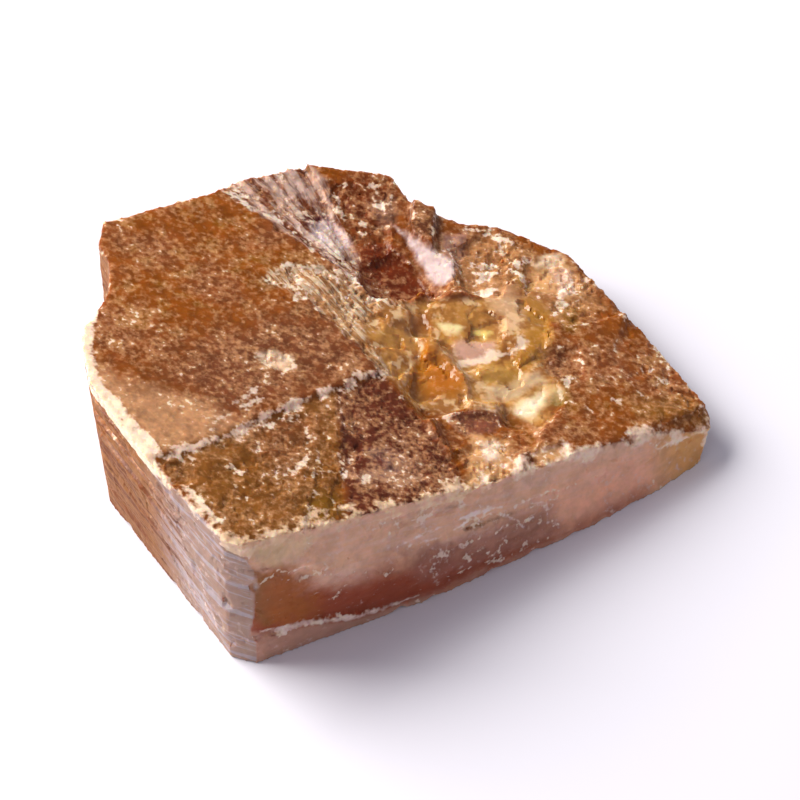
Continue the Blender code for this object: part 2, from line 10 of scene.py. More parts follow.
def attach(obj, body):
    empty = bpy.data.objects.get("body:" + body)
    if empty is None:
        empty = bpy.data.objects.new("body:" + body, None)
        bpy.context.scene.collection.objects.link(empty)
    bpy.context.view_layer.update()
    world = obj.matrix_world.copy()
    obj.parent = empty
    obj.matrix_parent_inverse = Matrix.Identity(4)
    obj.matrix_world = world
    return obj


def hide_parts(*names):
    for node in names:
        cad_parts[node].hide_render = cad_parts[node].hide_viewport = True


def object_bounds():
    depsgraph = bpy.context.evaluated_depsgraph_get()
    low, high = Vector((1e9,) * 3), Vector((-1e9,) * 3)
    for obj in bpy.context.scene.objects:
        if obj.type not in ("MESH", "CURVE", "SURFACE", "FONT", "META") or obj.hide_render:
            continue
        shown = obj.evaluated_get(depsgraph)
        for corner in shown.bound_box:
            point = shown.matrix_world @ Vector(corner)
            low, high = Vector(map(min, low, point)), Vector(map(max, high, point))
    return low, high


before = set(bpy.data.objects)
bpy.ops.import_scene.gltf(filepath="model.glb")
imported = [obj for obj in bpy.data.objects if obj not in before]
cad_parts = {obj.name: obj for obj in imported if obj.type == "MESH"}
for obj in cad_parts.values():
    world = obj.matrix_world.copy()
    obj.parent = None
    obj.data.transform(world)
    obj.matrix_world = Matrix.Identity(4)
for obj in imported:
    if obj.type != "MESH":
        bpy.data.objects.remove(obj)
cad_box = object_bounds()

# The block: one lump of honey calcite, cleaved and broken from a larger mass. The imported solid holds
# its faces, scars and chips. A copy of it is cut into cells of a quarter of a millimetre here, so that
# the relief of its broken ground can be carved into it.
MM = 0.001
STONE = "honey_calcite_block"
MERGE_DISTANCE = 0.001 * MM  # corners closer than this are one
CELL = 0.255 * MM
BASE_FACING = -0.9999  # the underside faces straight down
BASE_HEIGHT = 0.002 * MM

bpy.ops.object.select_all(action="DESELECT")
stone = bpy.data.objects.new(STONE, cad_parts["calcite_block"].data.copy())
stone.data.name = STONE
bpy.context.scene.collection.objects.link(stone)
bpy.context.view_layer.objects.active = stone
stone.select_set(True)
bpy.ops.object.mode_set(mode="EDIT")
bpy.ops.mesh.select_mode(type="VERT")
bpy.ops.mesh.select_all(action="SELECT")
bpy.ops.mesh.remove_doubles(threshold=MERGE_DISTANCE)
bpy.ops.object.mode_set(mode="OBJECT")

# Its sharp edges are noted before the cells are cut, because knocks have whitened them: the rims
# between the top and the sides, and the lesser edges of the scars
RIM_ANGLE = math.radians(48)
SCAR_ANGLE = math.radians(20)
EDGE_STEP = 0.2 * MM
EDGE_LOWEST = 0.3 * MM

shape = bmesh.new()
shape.from_mesh(stone.data)
rim_points, scar_points = [], []
for edge in shape.edges:
    angle = edge.calc_face_angle_signed(0.0)
    start, end = edge.verts[0].co, edge.verts[1].co
    if angle > SCAR_ANGLE and max(start.z, end.z) > EDGE_LOWEST:
        steps = max(1, round(edge.calc_length() / EDGE_STEP))
        points = rim_points if angle > RIM_ANGLE else scar_points
        points += [start.lerp(end, step / steps) / MM for step in range(steps + 1)]
shape.free()

cells = stone.modifiers.new("cells", "REMESH")
cells.mode = "VOXEL"
cells.voxel_size = CELL
cells.adaptivity = 0.0
bpy.ops.object.modifier_apply(modifier="cells")

# The underside is one flat cleavage face, so its cells are joined again
bpy.ops.object.mode_set(mode="EDIT")
bpy.ops.mesh.select_mode(type="FACE")
bpy.ops.mesh.select_all(action="DESELECT")
bpy.ops.object.mode_set(mode="OBJECT")
for face in stone.data.polygons:
    face.select = face.normal.z < BASE_FACING and face.center.z < BASE_HEIGHT
bpy.ops.object.mode_set(mode="EDIT")
bpy.ops.mesh.dissolve_faces()
bpy.ops.mesh.quads_convert_to_tris(quad_method="BEAUTY", ngon_method="BEAUTY")
bpy.ops.object.mode_set(mode="OBJECT")

# What the carving and the finish need to know of each point: its place in mm as the outlines below
# give it, the way it faces, its depth under the top cleavage face and its distance from an edge
OUTLINE_SHIFT = np.array([0.127, -0.929, 0.0])  # from the outlines' own origin to the footprint's middle
TOP_HEIGHT = 12.0  # of the top cleavage face above the outlines' own origin
TOP_FALL = np.array([0.2345, 0.0978])  # how far it falls for each mm along X and Y
TOP_WAY = np.array([*TOP_FALL, 1.0]) / math.hypot(*TOP_FALL, 1.0)
TOP_FACING = (0.35, 0.65)  # how squarely a place has to face the top's way to be part of it
INLAND_FACING = (-0.35, 0.0)  # and inside the broken top
BROKEN_TOP = [  # where even a steep place belongs to the top
    (-14.0, 9.0), (-16.0, 18.0), (-10.0, 27.0), (-2.0, 27.0), (0.0, 22.5), (4.0, 22.0), (12.0, 19.8),
    (17.0, 16.5), (19.5, 13.0), (18.0, 5.0), (20.0, -2.0), (17.0, -6.0), (8.0, -11.5), (0.0, -16.0),
    (-6.0, -19.0), (-8.0, -8.0),
]


def array_of(items, attribute):
    """A vector of each mesh item, as rows of an array."""
    flat = np.empty(len(items) * 3, np.float32)
    items.foreach_get(attribute, flat)
    return flat.reshape(-1, 3).astype(float)


def nearest_of(targets, seekers):
    """For each seeker, the number of its nearest target and the distance to it."""
    tree = KDTree(len(targets))
    for index, target in enumerate(targets):
        tree.insert(target, index)
    tree.balance()
    found = [tree.find(seeker)[1:] for seeker in seekers]
    return np.array([index for index, _ in found]), np.array([distance for _, distance in found])


def ramp(values, low, high):
    """0 below low, 1 above high, and smooth in between."""
    share = np.clip((values - low) / (high - low), 0.0, 1.0)
    return share * share * (3.0 - 2.0 * share)


def from_line(points, line):
    """Each point's distance in mm from a line through the given corners."""
    nearest = np.full(len(points), np.inf)
    for start, end in zip(np.array(line[:-1]), np.array(line[1:])):
        run = end - start
        share = np.clip(((points - start) @ run) / (run @ run), 0.0, 1.0)
        nearest = np.minimum(nearest, np.linalg.norm(points - start - share[:, None] * run, axis=1))
    return nearest


def within(points, outline):
    """How far each point is inside an outline, in mm; negative outside it."""
    inside = np.zeros(len(points), bool)
    for (ax, ay), (bx, by) in zip(outline, outline[1:] + outline[:1]):
        if ay != by:
            crosses = (ay > points[:, 1]) != (by > points[:, 1])
            inside ^= crosses & (points[:, 0] < (bx - ax) * (points[:, 1] - ay) / (by - ay) + ax)
    distance = from_line(points, outline + outline[:1])
    return np.where(inside, distance, -distance)


places = array_of(stone.data.vertices, "co") / MM - OUTLINE_SHIFT
plan = places[:, :2]
facings = array_of(stone.data.vertices, "normal")
under_top = (TOP_HEIGHT - plan @ TOP_FALL - places[:, 2]) * TOP_WAY[2]
faces_up = facings @ TOP_WAY
inland = ramp(within(plan, BROKEN_TOP), 0.0, 1.0)
top = np.maximum(ramp(faces_up, *TOP_FACING), inland * ramp(faces_up, *INLAND_FACING))
from_rim = nearest_of(rim_points, places + OUTLINE_SHIFT)[1]
from_scar = nearest_of(scar_points, places + OUTLINE_SHIFT)[1]

# The calcite itself: a deep honey-brown body of coarse crystal grains, which its rubbed and broken faces
# veil with peach-coloured frost and flecks of ground calcite, the white flecks partly painted sparkle.
# Its grains are 0.2 to 1 mm across, as in real honey calcite, so they are drawn at their own size.
DEEP_HONEY = "#8A490C"
DEEP_ROSE = "#7C4428"
DEEP_OLIVE = "#82580E"
SWELL = 8.0  # sizes in mm: broad changes of the body colour
MOTTLE = 2.4  # clouds, by which borders wander too
PEPPER = 1.1  # darker and lighter clumps of grains
PEPPER_SLICE = 5.0  # a part of the noise that does not follow the clouds
SUGAR = 0.6  # sugary frost
CRUMB = 0.42  # flecks of ground calcite and painted sparkle
GRAIN = 0.34  # one crystal grain
GRAIN_WARP = 0.5  # how far a grain's border wanders


def linear(hex_colour):
    """An sRGB hex colour as linear red, green, blue and alpha."""
    shares = [int(hex_colour[start : start + 2], 16) / 255 for start in (1, 3, 5)]
    bright = [share / 12.92 if share <= 0.04045 else ((share + 0.055) / 1.055) ** 2.4 for share in shares]
    return (*bright, 1.0)


def per_mm(size):
    """The scale that gives a texture features of that size in mm."""
    return 1.0 / (size * MM)


def add_node(kind, settings, sources):
    """Adds a node with its settings and what fills each socket, and gives back its first output in use."""
    node = calcite.node_tree.nodes.new(kind)
    for name, value in settings.items():
        setattr(node, name, value)
    for socket, source in sources.items():
        if isinstance(source, bpy.types.NodeSocket):
            calcite.node_tree.links.new(source, node.inputs[socket])
        else:
            node.inputs[socket].default_value = source
    return next((output for output in node.outputs if output.enabled), None)


ADD = {"operation": "ADD"}
SUBTRACT = {"operation": "SUBTRACT"}
MULTIPLY = {"operation": "MULTIPLY"}
SCALE = {"operation": "SCALE"}
SMOOTH = {"interpolation_type": "SMOOTHSTEP"}
COLOUR = {"data_type": "RGBA"}
MIDDLE_GREY = (0.5, 0.5, 0.5)

calcite = bpy.data.materials.new("broken_honey_calcite")
calcite.use_nodes = True
calcite.node_tree.nodes.clear()
place = add_node("ShaderNodeTexCoord", {}, {}).node.outputs["Object"]
swell = add_node("ShaderNodeTexNoise", {}, {"Vector": place, "Scale": per_mm(SWELL), "Detail": 3.0})
mottle = add_node(
    "ShaderNodeTexNoise", {}, {"Vector": place, "Scale": per_mm(MOTTLE), "Detail": 3.0, "Roughness": 0.6}
)
sugar = add_node(
    "ShaderNodeTexNoise", {}, {"Vector": place, "Scale": per_mm(SUGAR), "Detail": 2.5, "Roughness": 0.6}
)
pepper = add_node(
    "ShaderNodeTexNoise",
    {"noise_dimensions": "4D"},
    {"Vector": place, "W": PEPPER_SLICE, "Scale": per_mm(PEPPER), "Detail": 2.0, "Roughness": 0.5},
)
crumbs = add_node("ShaderNodeTexNoise", {}, {"Vector": place, "Scale": per_mm(CRUMB), "Detail": 1.0})
wander = add_node("ShaderNodeVectorMath", SUBTRACT, {0: sugar.node.outputs["Color"], 1: MIDDLE_GREY})
warp = add_node("ShaderNodeVectorMath", SCALE, {0: wander, "Scale": GRAIN_WARP * MM})
warped = add_node("ShaderNodeVectorMath", ADD, {0: place, 1: warp})
grains = add_node("ShaderNodeTexVoronoi", {}, {"Vector": warped, "Scale": per_mm(GRAIN)})
grain_shade = grains.node.outputs["Color"]
grain_tone = add_node("ShaderNodeSeparateColor", {}, {0: grain_shade})
off_middle = add_node("ShaderNodeMath", SUBTRACT, {0: mottle, 1: 0.5})
off_sugar = add_node("ShaderNodeMath", SUBTRACT, {0: sugar, 1: 0.5})


def note(name, values):
    """Keeps a number for each point of the stone, and gives it to the material."""
    layer = stone.data.attributes.new(name, "FLOAT", "POINT")
    layer.data.foreach_set("value", np.asarray(values, np.float32))
    return add_node("ShaderNodeAttribute", {"attribute_name": name}, {}).node.outputs["Fac"]


def stained(colour, share, stain, strength=1.0):
    """The colour so far, with a stain where the share says."""
    much = add_node("ShaderNodeMath", MULTIPLY, {0: share, 1: strength})
    return add_node("ShaderNodeMix", COLOUR, {0: much, 6: colour, 7: stain})


# The levels below are heights of noise: it has its middle at 0.5, so a step from 0.40 to 0.60 stains
# half of the stone, and one from 0.52 to 0.62 somewhat less
top_share = note("top", top)
swell_share = add_node("ShaderNodeMapRange", SMOOTH, {0: swell, 1: 0.40, 2: 0.60})
colour = stained(linear(DEEP_HONEY), swell_share, linear(DEEP_ROSE), 0.6)
olive_share = add_node("ShaderNodeMapRange", SMOOTH, {0: mottle, 1: 0.52, 2: 0.62})
colour = stained(colour, olive_share, linear(DEEP_OLIVE), 0.5)

# Broken ground: a patchwork of small flat facets, each with its own tilt, with steps between them.
# Large ones fill the glassy window. Smaller ones roughen the crushed ground and, faintly, the rest.
FACETS = (  # width and step height in mm, how steeply they tilt, and the seed
    (3.4, 0.07, 0.12, 11),
    (1.2, 0.06, 0.16, 12),
    (0.6, 0.04, 0.20, 13),
)
FACET_SHARES = (  # how much each size shows: anywhere, in scars, in crushed ground, in the window, on sides
    (0.03, 0.20, 0.50, 0.90, 0.12),
    (0.06, 0.30, 0.80, 0.20, 0.16),
    (0.15, 0.45, 0.80, 0.15, 0.20),
)
FACET_WARP = 0.3  # how far a facet's border wanders, as a share of its width
FACET_WAVE = 0.8  # the size of that wandering, as a share of the same
FROSTING_HEIGHT = 0.025
FROSTING_WIDTH = 0.6
FROSTING_SEED = 21


def swells(size, seed):
    """Smooth noise from about -1 to 1 at each place, in swells of about that size in mm."""
    offset = Vector((seed * 17.3, seed * 5.1, seed * 9.7))
    return np.array([noise.noise(Vector(place) / size + offset) for place in places])


def facet_relief(width, step, slope, seed):
    """How far facets of one size raise or lower each place, in mm, and a random share for each facet."""
    chance = np.random.default_rng(seed)
    low, high = places.min(axis=0) - width, places.max(axis=0) + width
    count = int(np.prod((high - low) / width))
    middles = chance.uniform(low, high, (count, 3))
    tilts = chance.normal(0.0, slope, (count, 3))
    heights = chance.uniform(-step, step, count)
    shades = chance.uniform(0.0, 1.0, count)
    wandering = np.stack([swells(width * FACET_WAVE, seed + turn) for turn in (1, 2, 3)], axis=1)
    owner = nearest_of(middles, places + wandering * width * FACET_WARP)[0]
    rise = heights[owner] + np.einsum("ij,ij->i", tilts[owner], places - middles[owner])
    return rise, shades[owner]


WINDOW = [
    (-8.7, 7.9), (-4.5, 8.8), (0.5, 9.9), (5.6, 11.6), (9.8, 12.4), (12.6, 13.4), (14.4, 11.6),
    (14.6, 7.0), (14.2, 3.4), (15.6, -0.6), (13.4, -4.4), (9.4, -3.4), (3.1, -3.6), (1.0, -3.4),
    (-2.0, -0.6), (-5.3, 3.9),
]
FRINGE = [
    (-13.4, 9.4), (-11.6, 11.4), (-7.0, 12.2), (-3.0, 12.4), (0.3, 10.8), (0.3, 8.9), (-1.5, 8.3),
    (-3.0, 7.1), (-3.7, 4.2), (-2.2, 2.2), (-1.2, -0.6), (-2.4, -0.6), (-5.3, 3.9), (-8.7, 7.5),
]
BACK_RIGHT = [
    (4.7, 20.4), (8.4, 21.8), (12.3, 20.6), (18.2, 17.3), (20.7, 13.6), (17.3, 9.9), (14.6, 11.2),
    (12.6, 13.4), (9.8, 12.4), (4.7, 12.0),
]
PALE_LEFT = [
    (5.8, -8.6), (7.2, -6.9), (10.2, -6.9), (10.5, -9.4), (10.9, -12.3), (7.7, -14.8), (5.8, -15.2),
]
PALE_RIGHT = [(12.5, -8.4), (14.6, -7.0), (16.2, -8.1), (15.0, -9.6), (12.6, -10.6)]
BACK_FLAKES = [
    (12.4, 17.2), (13.6, 19.4), (15.6, 20.2), (16.9, 18.0), (16.8, 15.0), (15.2, 14.4), (12.6, 15.2),
]
SMALL_FLAKE = [(-13.4, -1.0), (-12.3, -0.1), (-11.4, 0.0), (-10.4, -1.2), (-11.3, -2.4), (-12.8, -2.2)]
CRUSHED = (PALE_LEFT, PALE_RIGHT, BACK_FLAKES, SMALL_FLAKE)
window, fringe, back_right = within(plan, WINDOW), within(plan, FRINGE), within(plan, BACK_RIGHT)
crushed = np.maximum.reduce([within(plan, patch) for patch in CRUSHED])
glassy = top * ramp(window, -0.3, 0.5) * ramp(-fringe, -0.3, 0.5)
rough = top * ramp(np.maximum.reduce([fringe, back_right, crushed]), -0.4, 0.6)
scarred = top * ramp(under_top, 0.10, 0.45)
side = np.minimum(1.0 - ramp(faces_up, 0.25, 0.6), 1.0 - top)
carving = FROSTING_HEIGHT * swells(FROSTING_WIDTH, FROSTING_SEED) * (1.0 - glassy)
facet_shades = []
for size, shares in zip(FACETS, FACET_SHARES):
    anywhere, in_scars, in_crushed, in_window, on_sides = shares
    rise, shade = facet_relief(*size)
    much = np.maximum.reduce([anywhere * top, in_scars * scarred, in_crushed * rough, on_sides * side])
    carving += rise * (much * (1.0 - glassy) + in_window * glassy)
    facet_shades.append(shade)
facet = note("facet", facet_shades[0])  # of the large ones, which have a colour each

# The main cleavage face: once flat and clear, now frosted by rubbing, so it looks like brown sugar.
# It is golden towards its far corner, rosy towards the crack and dusty along its left rim.
ROSY_GROUND = [
    (-18.0, 1.0), (-9.0, 6.5), (-5.8, 4.2), (-2.5, -0.5), (-10.5, -7.2), (-16.0, -11.6), (-24.0, -6.0),
]
DUSTY_GROUND = [
    (-29.6, -6.0), (-22.0, -8.0), (-14.0, -10.6), (-17.8, -14.0), (-22.6, -16.6), (-28.0, -10.5),
]
GOLDEN_RIGHT = [(22.9, 1.1), (28.0, 2.6), (29.4, -0.3), (24.9, -2.5), (22.4, -1.4)]
MULTIPLY_ADD = {"operation": "MULTIPLY_ADD"}
MOTTLE_REACH = 8.0  # clouds are seldom more than an eighth off their middle, so this makes that one


def region(name, inside, wandering, blur):
    """Where a distance is inside, as a share whose border wanders by that many mm."""
    edge = note(name, inside)
    moved = add_node("ShaderNodeMath", MULTIPLY_ADD, {0: off_middle, 1: wandering * MOTTLE_REACH, 2: edge})
    return add_node("ShaderNodeMapRange", SMOOTH, {0: moved, 1: -blur, 2: blur})


def patched(colour, patches, points, off=0.0):
    """The colour so far, with a soft-edged stain inside each named outline."""
    for name, (outline, wandering, blur, hex_colour, strength) in patches.items():
        share = region(name, within(points, outline) - off, wandering, blur)
        colour = stained(colour, share, linear(hex_colour), strength)
    return colour


def dusted(patches):
    """Dust from outlines: how much each has, and from how far inside it, in mm."""
    return sum(much * ramp(within(plan, outline), low, high) for outline, much, low, high in patches)


colour = patched(
    colour,
    {  # outline, how far its border wanders and blurs in mm, colour, strength
        "rosy_ground": (ROSY_GROUND, 1.0, 4.0, "#73422A", 0.85),
        "dusty_ground": (DUSTY_GROUND, 0.8, 2.0, "#CA9C76", 0.65),
        "golden_right": (GOLDEN_RIGHT, 0.6, 1.2, "#8A5A1A", 0.8),
    },
    plan,
)
dust = dusted([(DUSTY_GROUND, 0.6, -1.5, 2.0), (GOLDEN_RIGHT, -0.5, -1.0, 1.0)])

# The strip in front of the crack broke off a little lower, along a coarser layer. At its right a darker
# patch lies lower still, with a dust of ground calcite in it.
STRIP = [(-2.0, -0.8), (-22.5, -16.5), (-15.4, -26.3), (-5.3, -20.6), (-5.9, -4.4)]
STRIP_ROSY = [(-14.0, -10.2), (-10.6, -8.0), (-7.8, -8.6), (-9.8, -15.4), (-13.2, -14.8)]
STRIP_CLEAR = [(-9.7, -20.3), (-7.7, -17.4), (-5.6, -17.3), (-5.4, -20.1), (-7.6, -21.6)]
DARK_PATCH = [
    (-6.2, -4.1), (-2.0, -0.8), (1.0, -4.6), (4.7, -10.7), (6.0, -15.8), (0.5, -18.7), (-4.9, -21.7),
    (-5.7, -12.9),
]
PATCH_DUST = [(-3.3, -12.0), (0.2, -10.7), (1.3, -13.5), (-0.8, -14.9), (-3.2, -14.5)]
PATCH_EDGE = [
    (-5.0, -20.6), (-4.8, -14.4), (-3.4, -14.6), (-3.2, -17.6), (0.1, -16.0), (3.4, -14.0),
    (4.2, -10.2), (5.8, -12.4), (6.2, -15.4), (0.8, -18.4),
]
CRACK = [
    (-2.0, -0.7), (-4.7, -2.7), (-6.9, -4.5), (-10.4, -7.3), (-12.8, -9.1), (-15.4, -11.8),
    (-18.5, -14.0), (-22.5, -16.9),
]
CRACK_DUST = [(-15.4, -11.2), (-14.6, -9.4), (-12.6, -7.8), (-10.0, -6.0), (-10.6, -7.4), (-13.0, -9.4)]
CORNER_DUST = [(-23.0, -16.5), (-20.7, -15.4), (-20.6, -18.9), (-22.3, -18.4)]
colour = patched(
    colour,
    {
        "strip": (STRIP, 0.1, 0.6, "#7E5220", 0.75),
        "strip_rosy": (STRIP_ROSY, 0.8, 1.6, "#6E3A22", 0.6),
        "strip_clear": (STRIP_CLEAR, 0.5, 0.9, "#7A5210", 0.9),
        "dark_patch": (DARK_PATCH, 0.2, 0.5, "#5E2A1A", 0.95),
        "patch_dust": (PATCH_DUST, 1.6, 1.6, "#947A74", 0.5),
    },
    plan,
)
dust += dusted(
    [
        (PATCH_EDGE, 0.7, -0.4, 0.6),
        (PATCH_DUST, 0.7, -1.5, 1.5),
        (CRACK_DUST, 0.8, -0.5, 0.5),
        (CORNER_DUST, 0.8, -0.4, 0.4),
        (STRIP_CLEAR, -0.9, -2.0, 2.0),
    ]
)

# The honey window: a scar so fresh that its facets are still glassy. Its honey, orange, rose and gold are
# partly the calcite's own colour and partly painted glow of light coming up through it; the two flashes
# and the glint are painted highlights.
GOLD_ARC = [
    (12.2, 13.3), (13.6, 12.7), (14.6, 10.7), (14.4, 7.6), (13.2, 4.9), (11.6, 2.5), (10.1, 1.8),
    (10.1, 3.2), (11.7, 4.9), (12.5, 7.6), (12.3, 10.6),
]
GOLD_TOP = [(4.1, 9.8), (7.2, 10.3), (9.0, 9.3), (8.9, 8.0), (6.2, 7.7), (4.2, 7.9)]
BROWN_GOLD = [(0.3, 8.8), (2.6, 8.8), (2.8, 7.2), (1.6, 6.9), (0.4, 7.2)]
GOLD_LOW = [(6.8, 1.9), (8.6, 3.1), (10.4, 3.2), (11.4, 2.2), (9.6, 0.9), (8.1, 0.6)]
ORANGE = [
    (1.9, 5.4), (3.6, 3.2), (5.1, 1.8), (6.2, 0.4), (5.3, -1.4), (2.6, -1.9), (0.8, -0.6), (1.2, 2.8),
]
ORANGE_HEART = [(3.0, 1.9), (4.8, 1.4), (5.3, 0.2), (4.1, -0.8), (2.8, -0.2)]
ROSE = [(4.9, 5.6), (5.9, 6.4), (7.7, 6.3), (8.9, 6.6), (8.9, 5.2), (7.6, 4.1), (6.4, 3.3), (5.0, 4.3)]
LOW_PALE = [
    (8.1, 0.0), (10.1, 0.9), (11.6, 2.0), (13.4, 3.1), (13.9, 1.5), (12.6, 0.9), (11.1, -0.6),
    (9.6, -1.0), (8.1, -1.0),
]
PALE_MIDDLE = [(8.4, 14.6), (11.4, 15.0), (11.6, 8.6), (9.8, 7.4), (9.2, 9.5), (8.6, 11.0)]
HIGHLIGHT_LEFT = [(3.5, 8.0), (4.9, 8.1), (6.2, 7.9), (5.1, 7.2), (3.9, 7.3)]
HIGHLIGHT_RIGHT = [(6.7, 8.3), (8.2, 8.1), (8.9, 7.9), (8.2, 7.3), (6.9, 7.5)]
GLINT = [
    (10.3, -2.2), (11.3, -0.9), (13.1, 0.2), (14.4, 0.9), (15.2, 0.4), (14.1, -1.2), (12.4, -3.4),
    (11.3, -2.9),
]
GLINT_HEART = [(10.8, -2.2), (12.1, -1.1), (13.4, -0.1), (13.3, -1.4), (12.3, -2.7), (11.3, -2.8)]
GLINT_DARK = [(13.9, -1.0), (14.9, 0.5), (16.0, -0.2), (15.6, -1.5), (14.6, -1.9)]
BROWN_FACET = [(3.8, -3.6), (9.0, -3.4), (9.7, -3.9), (9.0, -6.0), (7.0, -6.7), (5.0, -6.4)]
AMBER_RIDGE = [
    (9.3, -0.9), (10.6, -2.7), (12.3, -3.7), (12.9, -6.0), (12.6, -8.3), (11.5, -6.5), (10.1, -3.9),
]
WINDOW_AMBER = "#945A20"
WINDOW_GOLD = "#CC9444"
FACET_GOLD = "#C08C50"
WINDOW_PALE = "#F2D2A4"
gold_share = add_node("ShaderNodeMapRange", SMOOTH, {0: mottle, 1: 0.40, 2: 0.60})
window_colour = stained(linear(WINDOW_AMBER), gold_share, linear(WINDOW_GOLD))
window_colour = stained(window_colour, facet, linear(FACET_GOLD), 0.5)
pale_share = add_node("ShaderNodeMapRange", SMOOTH, {0: pepper, 1: 0.52, 2: 0.64})
window_colour = stained(window_colour, pale_share, linear(WINDOW_PALE), 0.6)
colour = stained(colour, region("window", window, 0.3, 0.6), window_colour)
colour = patched(
    colour,
    {
        "gold_arc": (GOLD_ARC, 0.3, 0.7, "#B07818", 0.8),
        "gold_top": (GOLD_TOP, 0.3, 0.6, "#BC843C", 0.6),
        "brown_gold": (BROWN_GOLD, 0.3, 0.6, "#A86420", 0.8),
        "gold_low": (GOLD_LOW, 0.3, 0.6, "#C09448", 0.7),
        "orange": (ORANGE, 0.2, 0.6, "#B06C10", 0.92),
        "orange_heart": (ORANGE_HEART, 0.3, 1.0, "#BC6A10", 0.8),
        "rose": (ROSE, 0.2, 0.5, "#C69C8A", 0.9),
        "low_pale": (LOW_PALE, 0.3, 0.5, "#D8BE98", 0.8),
        "pale_middle": (PALE_MIDDLE, 0.5, 0.8, "#E6C09A", 0.6),
        # painted highlights: light flashing off two facets
        "painted_highlight_left": (HIGHLIGHT_LEFT, 0.2, 0.35, "#FFEFB8", 0.9),
        "painted_highlight_right": (HIGHLIGHT_RIGHT, 0.2, 0.35, "#F2DC84", 0.9),
        # the glint and its heart: painted highlight on a bright facet
        "glint": (GLINT, 0.3, 0.6, "#E4C896", 0.85),
        "glint_heart": (GLINT_HEART, 0.3, 0.6, "#FCF0D4", 0.9),
        "glint_dark": (GLINT_DARK, 0.3, 0.6, "#705A1C", 0.75),
        "brown_facet": (BROWN_FACET, 0.3, 0.3, "#7C4A3A", 0.85),
        "amber_ridge": (AMBER_RIDGE, 0.2, 0.35, "#8E500A", 0.9),
    },
    plan,
)

# Crushed ground: pale, cloudy patches where the blow that broke the block bruised the calcite, and
# a fringe of white fibres along the window's left side
DARK_SPOTS = [(13.7, 5.6), (15.0, 6.6), (16.4, 6.4), (16.2, 4.0), (14.9, 1.9), (13.9, 3.1)]
LILAC_SHELF = [(4.0, 20.4), (6.2, 21.3), (6.7, 19.3), (5.2, 16.6), (4.2, 18.0)]
WHITE_FLAKE = [(12.6, 18.1), (13.8, 19.6), (15.6, 20.1), (16.1, 19.0), (14.5, 18.0), (13.2, 17.5)]
LILAC_FLAKE = [(14.5, 17.7), (16.6, 17.6), (16.8, 14.9), (15.7, 13.9), (15.3, 16.0)]
GOLD_FLAKE = [(11.0, 15.6), (14.2, 16.5), (14.5, 15.2), (11.6, 14.2)]
OLIVE_FLAKE = [(15.7, 12.8), (17.7, 12.4), (16.9, 8.9), (15.6, 8.6)]
WHITE_SPOT = [(7.6, -8.0), (8.8, -7.4), (9.2, -9.9), (7.9, -10.4)]
FIBRES = np.array([(-8.6, 8.1), (-1.0, -1.2)])
FIBRE_WIDTH = 0.5
FIBRE_LENGTH = 4.0
FRINGE_BROWN = "#8E6440"
FIBRE_WHITE = "#EADBC0"
CRUSHED_CREAM = "#CCA070"


def streaks(across, along, width, length):
    """Noise drawn out one way, from two distances in mm: streaks of about that width and length."""
    sheet = add_node("ShaderNodeCombineXYZ", {}, {0: across, 1: along})
    sheet = add_node("ShaderNodeVectorMath", MULTIPLY, {0: sheet, 1: (1.0 / width, 1.0 / length, 0.0)})
    grain = {"Vector": sheet, "Scale": 1.0, "Detail": 3.0, "Roughness": 0.6}
    return add_node("ShaderNodeTexNoise", {}, grain)


fibre_way = (FIBRES[1] - FIBRES[0]) / np.linalg.norm(FIBRES[1] - FIBRES[0])
fibre_along = note("fibre_along", (plan - FIBRES[0]) @ fibre_way)
fibre_across = note("fibre_across", (plan - FIBRES[0]) @ np.array([-fibre_way[1], fibre_way[0]]))
fibre = streaks(fibre_across, fibre_along, FIBRE_WIDTH, FIBRE_LENGTH)
colour = patched(
    colour,
    {
        "back_right": (BACK_RIGHT, 0.8, 1.4, "#A07248", 0.75),
        "lilac_shelf": (LILAC_SHELF, 0.4, 0.7, "#A88480", 0.7),
        "dark_spots": (DARK_SPOTS, 0.6, 0.8, "#4E200E", 0.8),
        "olive_flake": (OLIVE_FLAKE, 0.4, 0.6, "#7E5A10", 0.7),
        "gold_flake": (GOLD_FLAKE, 0.3, 0.5, "#B48A40", 0.8),
    },
    plan,
)
fringe_share = region("fringe", fringe, 0.5, 0.6)
colour = stained(colour, fringe_share, linear(FRINGE_BROWN), 0.8)
fibre_share = add_node("ShaderNodeMapRange", SMOOTH, {0: fibre, 1: 0.46, 2: 0.60})
fibre_share = add_node("ShaderNodeMath", MULTIPLY, {0: fringe_share, 1: fibre_share})
colour = stained(colour, fibre_share, linear(FIBRE_WHITE), 0.75)
colour = stained(colour, region("crushed", crushed, 0.5, 0.9), linear(CRUSHED_CREAM), 0.8)
colour = patched(
    colour,
    {
        "white_flake": (WHITE_FLAKE, 0.3, 0.5, "#EFDCC0", 0.8),
        "lilac_flake": (LILAC_FLAKE, 0.3, 0.5, "#D2B8AE", 0.8),
        "white_spot": (WHITE_SPOT, 0.3, 0.4, "#EFE6D8", 0.8),
        "small_flake": (SMALL_FLAKE, 0.4, 0.5, "#EBD8C4", 0.7),
    },
    plan,
)
dust += 0.9 * ramp(crushed, -0.3, 0.8) + 0.9 * ramp(back_right, -0.5, 1.5) + 0.6 * ramp(fringe, -0.3, 0.8)
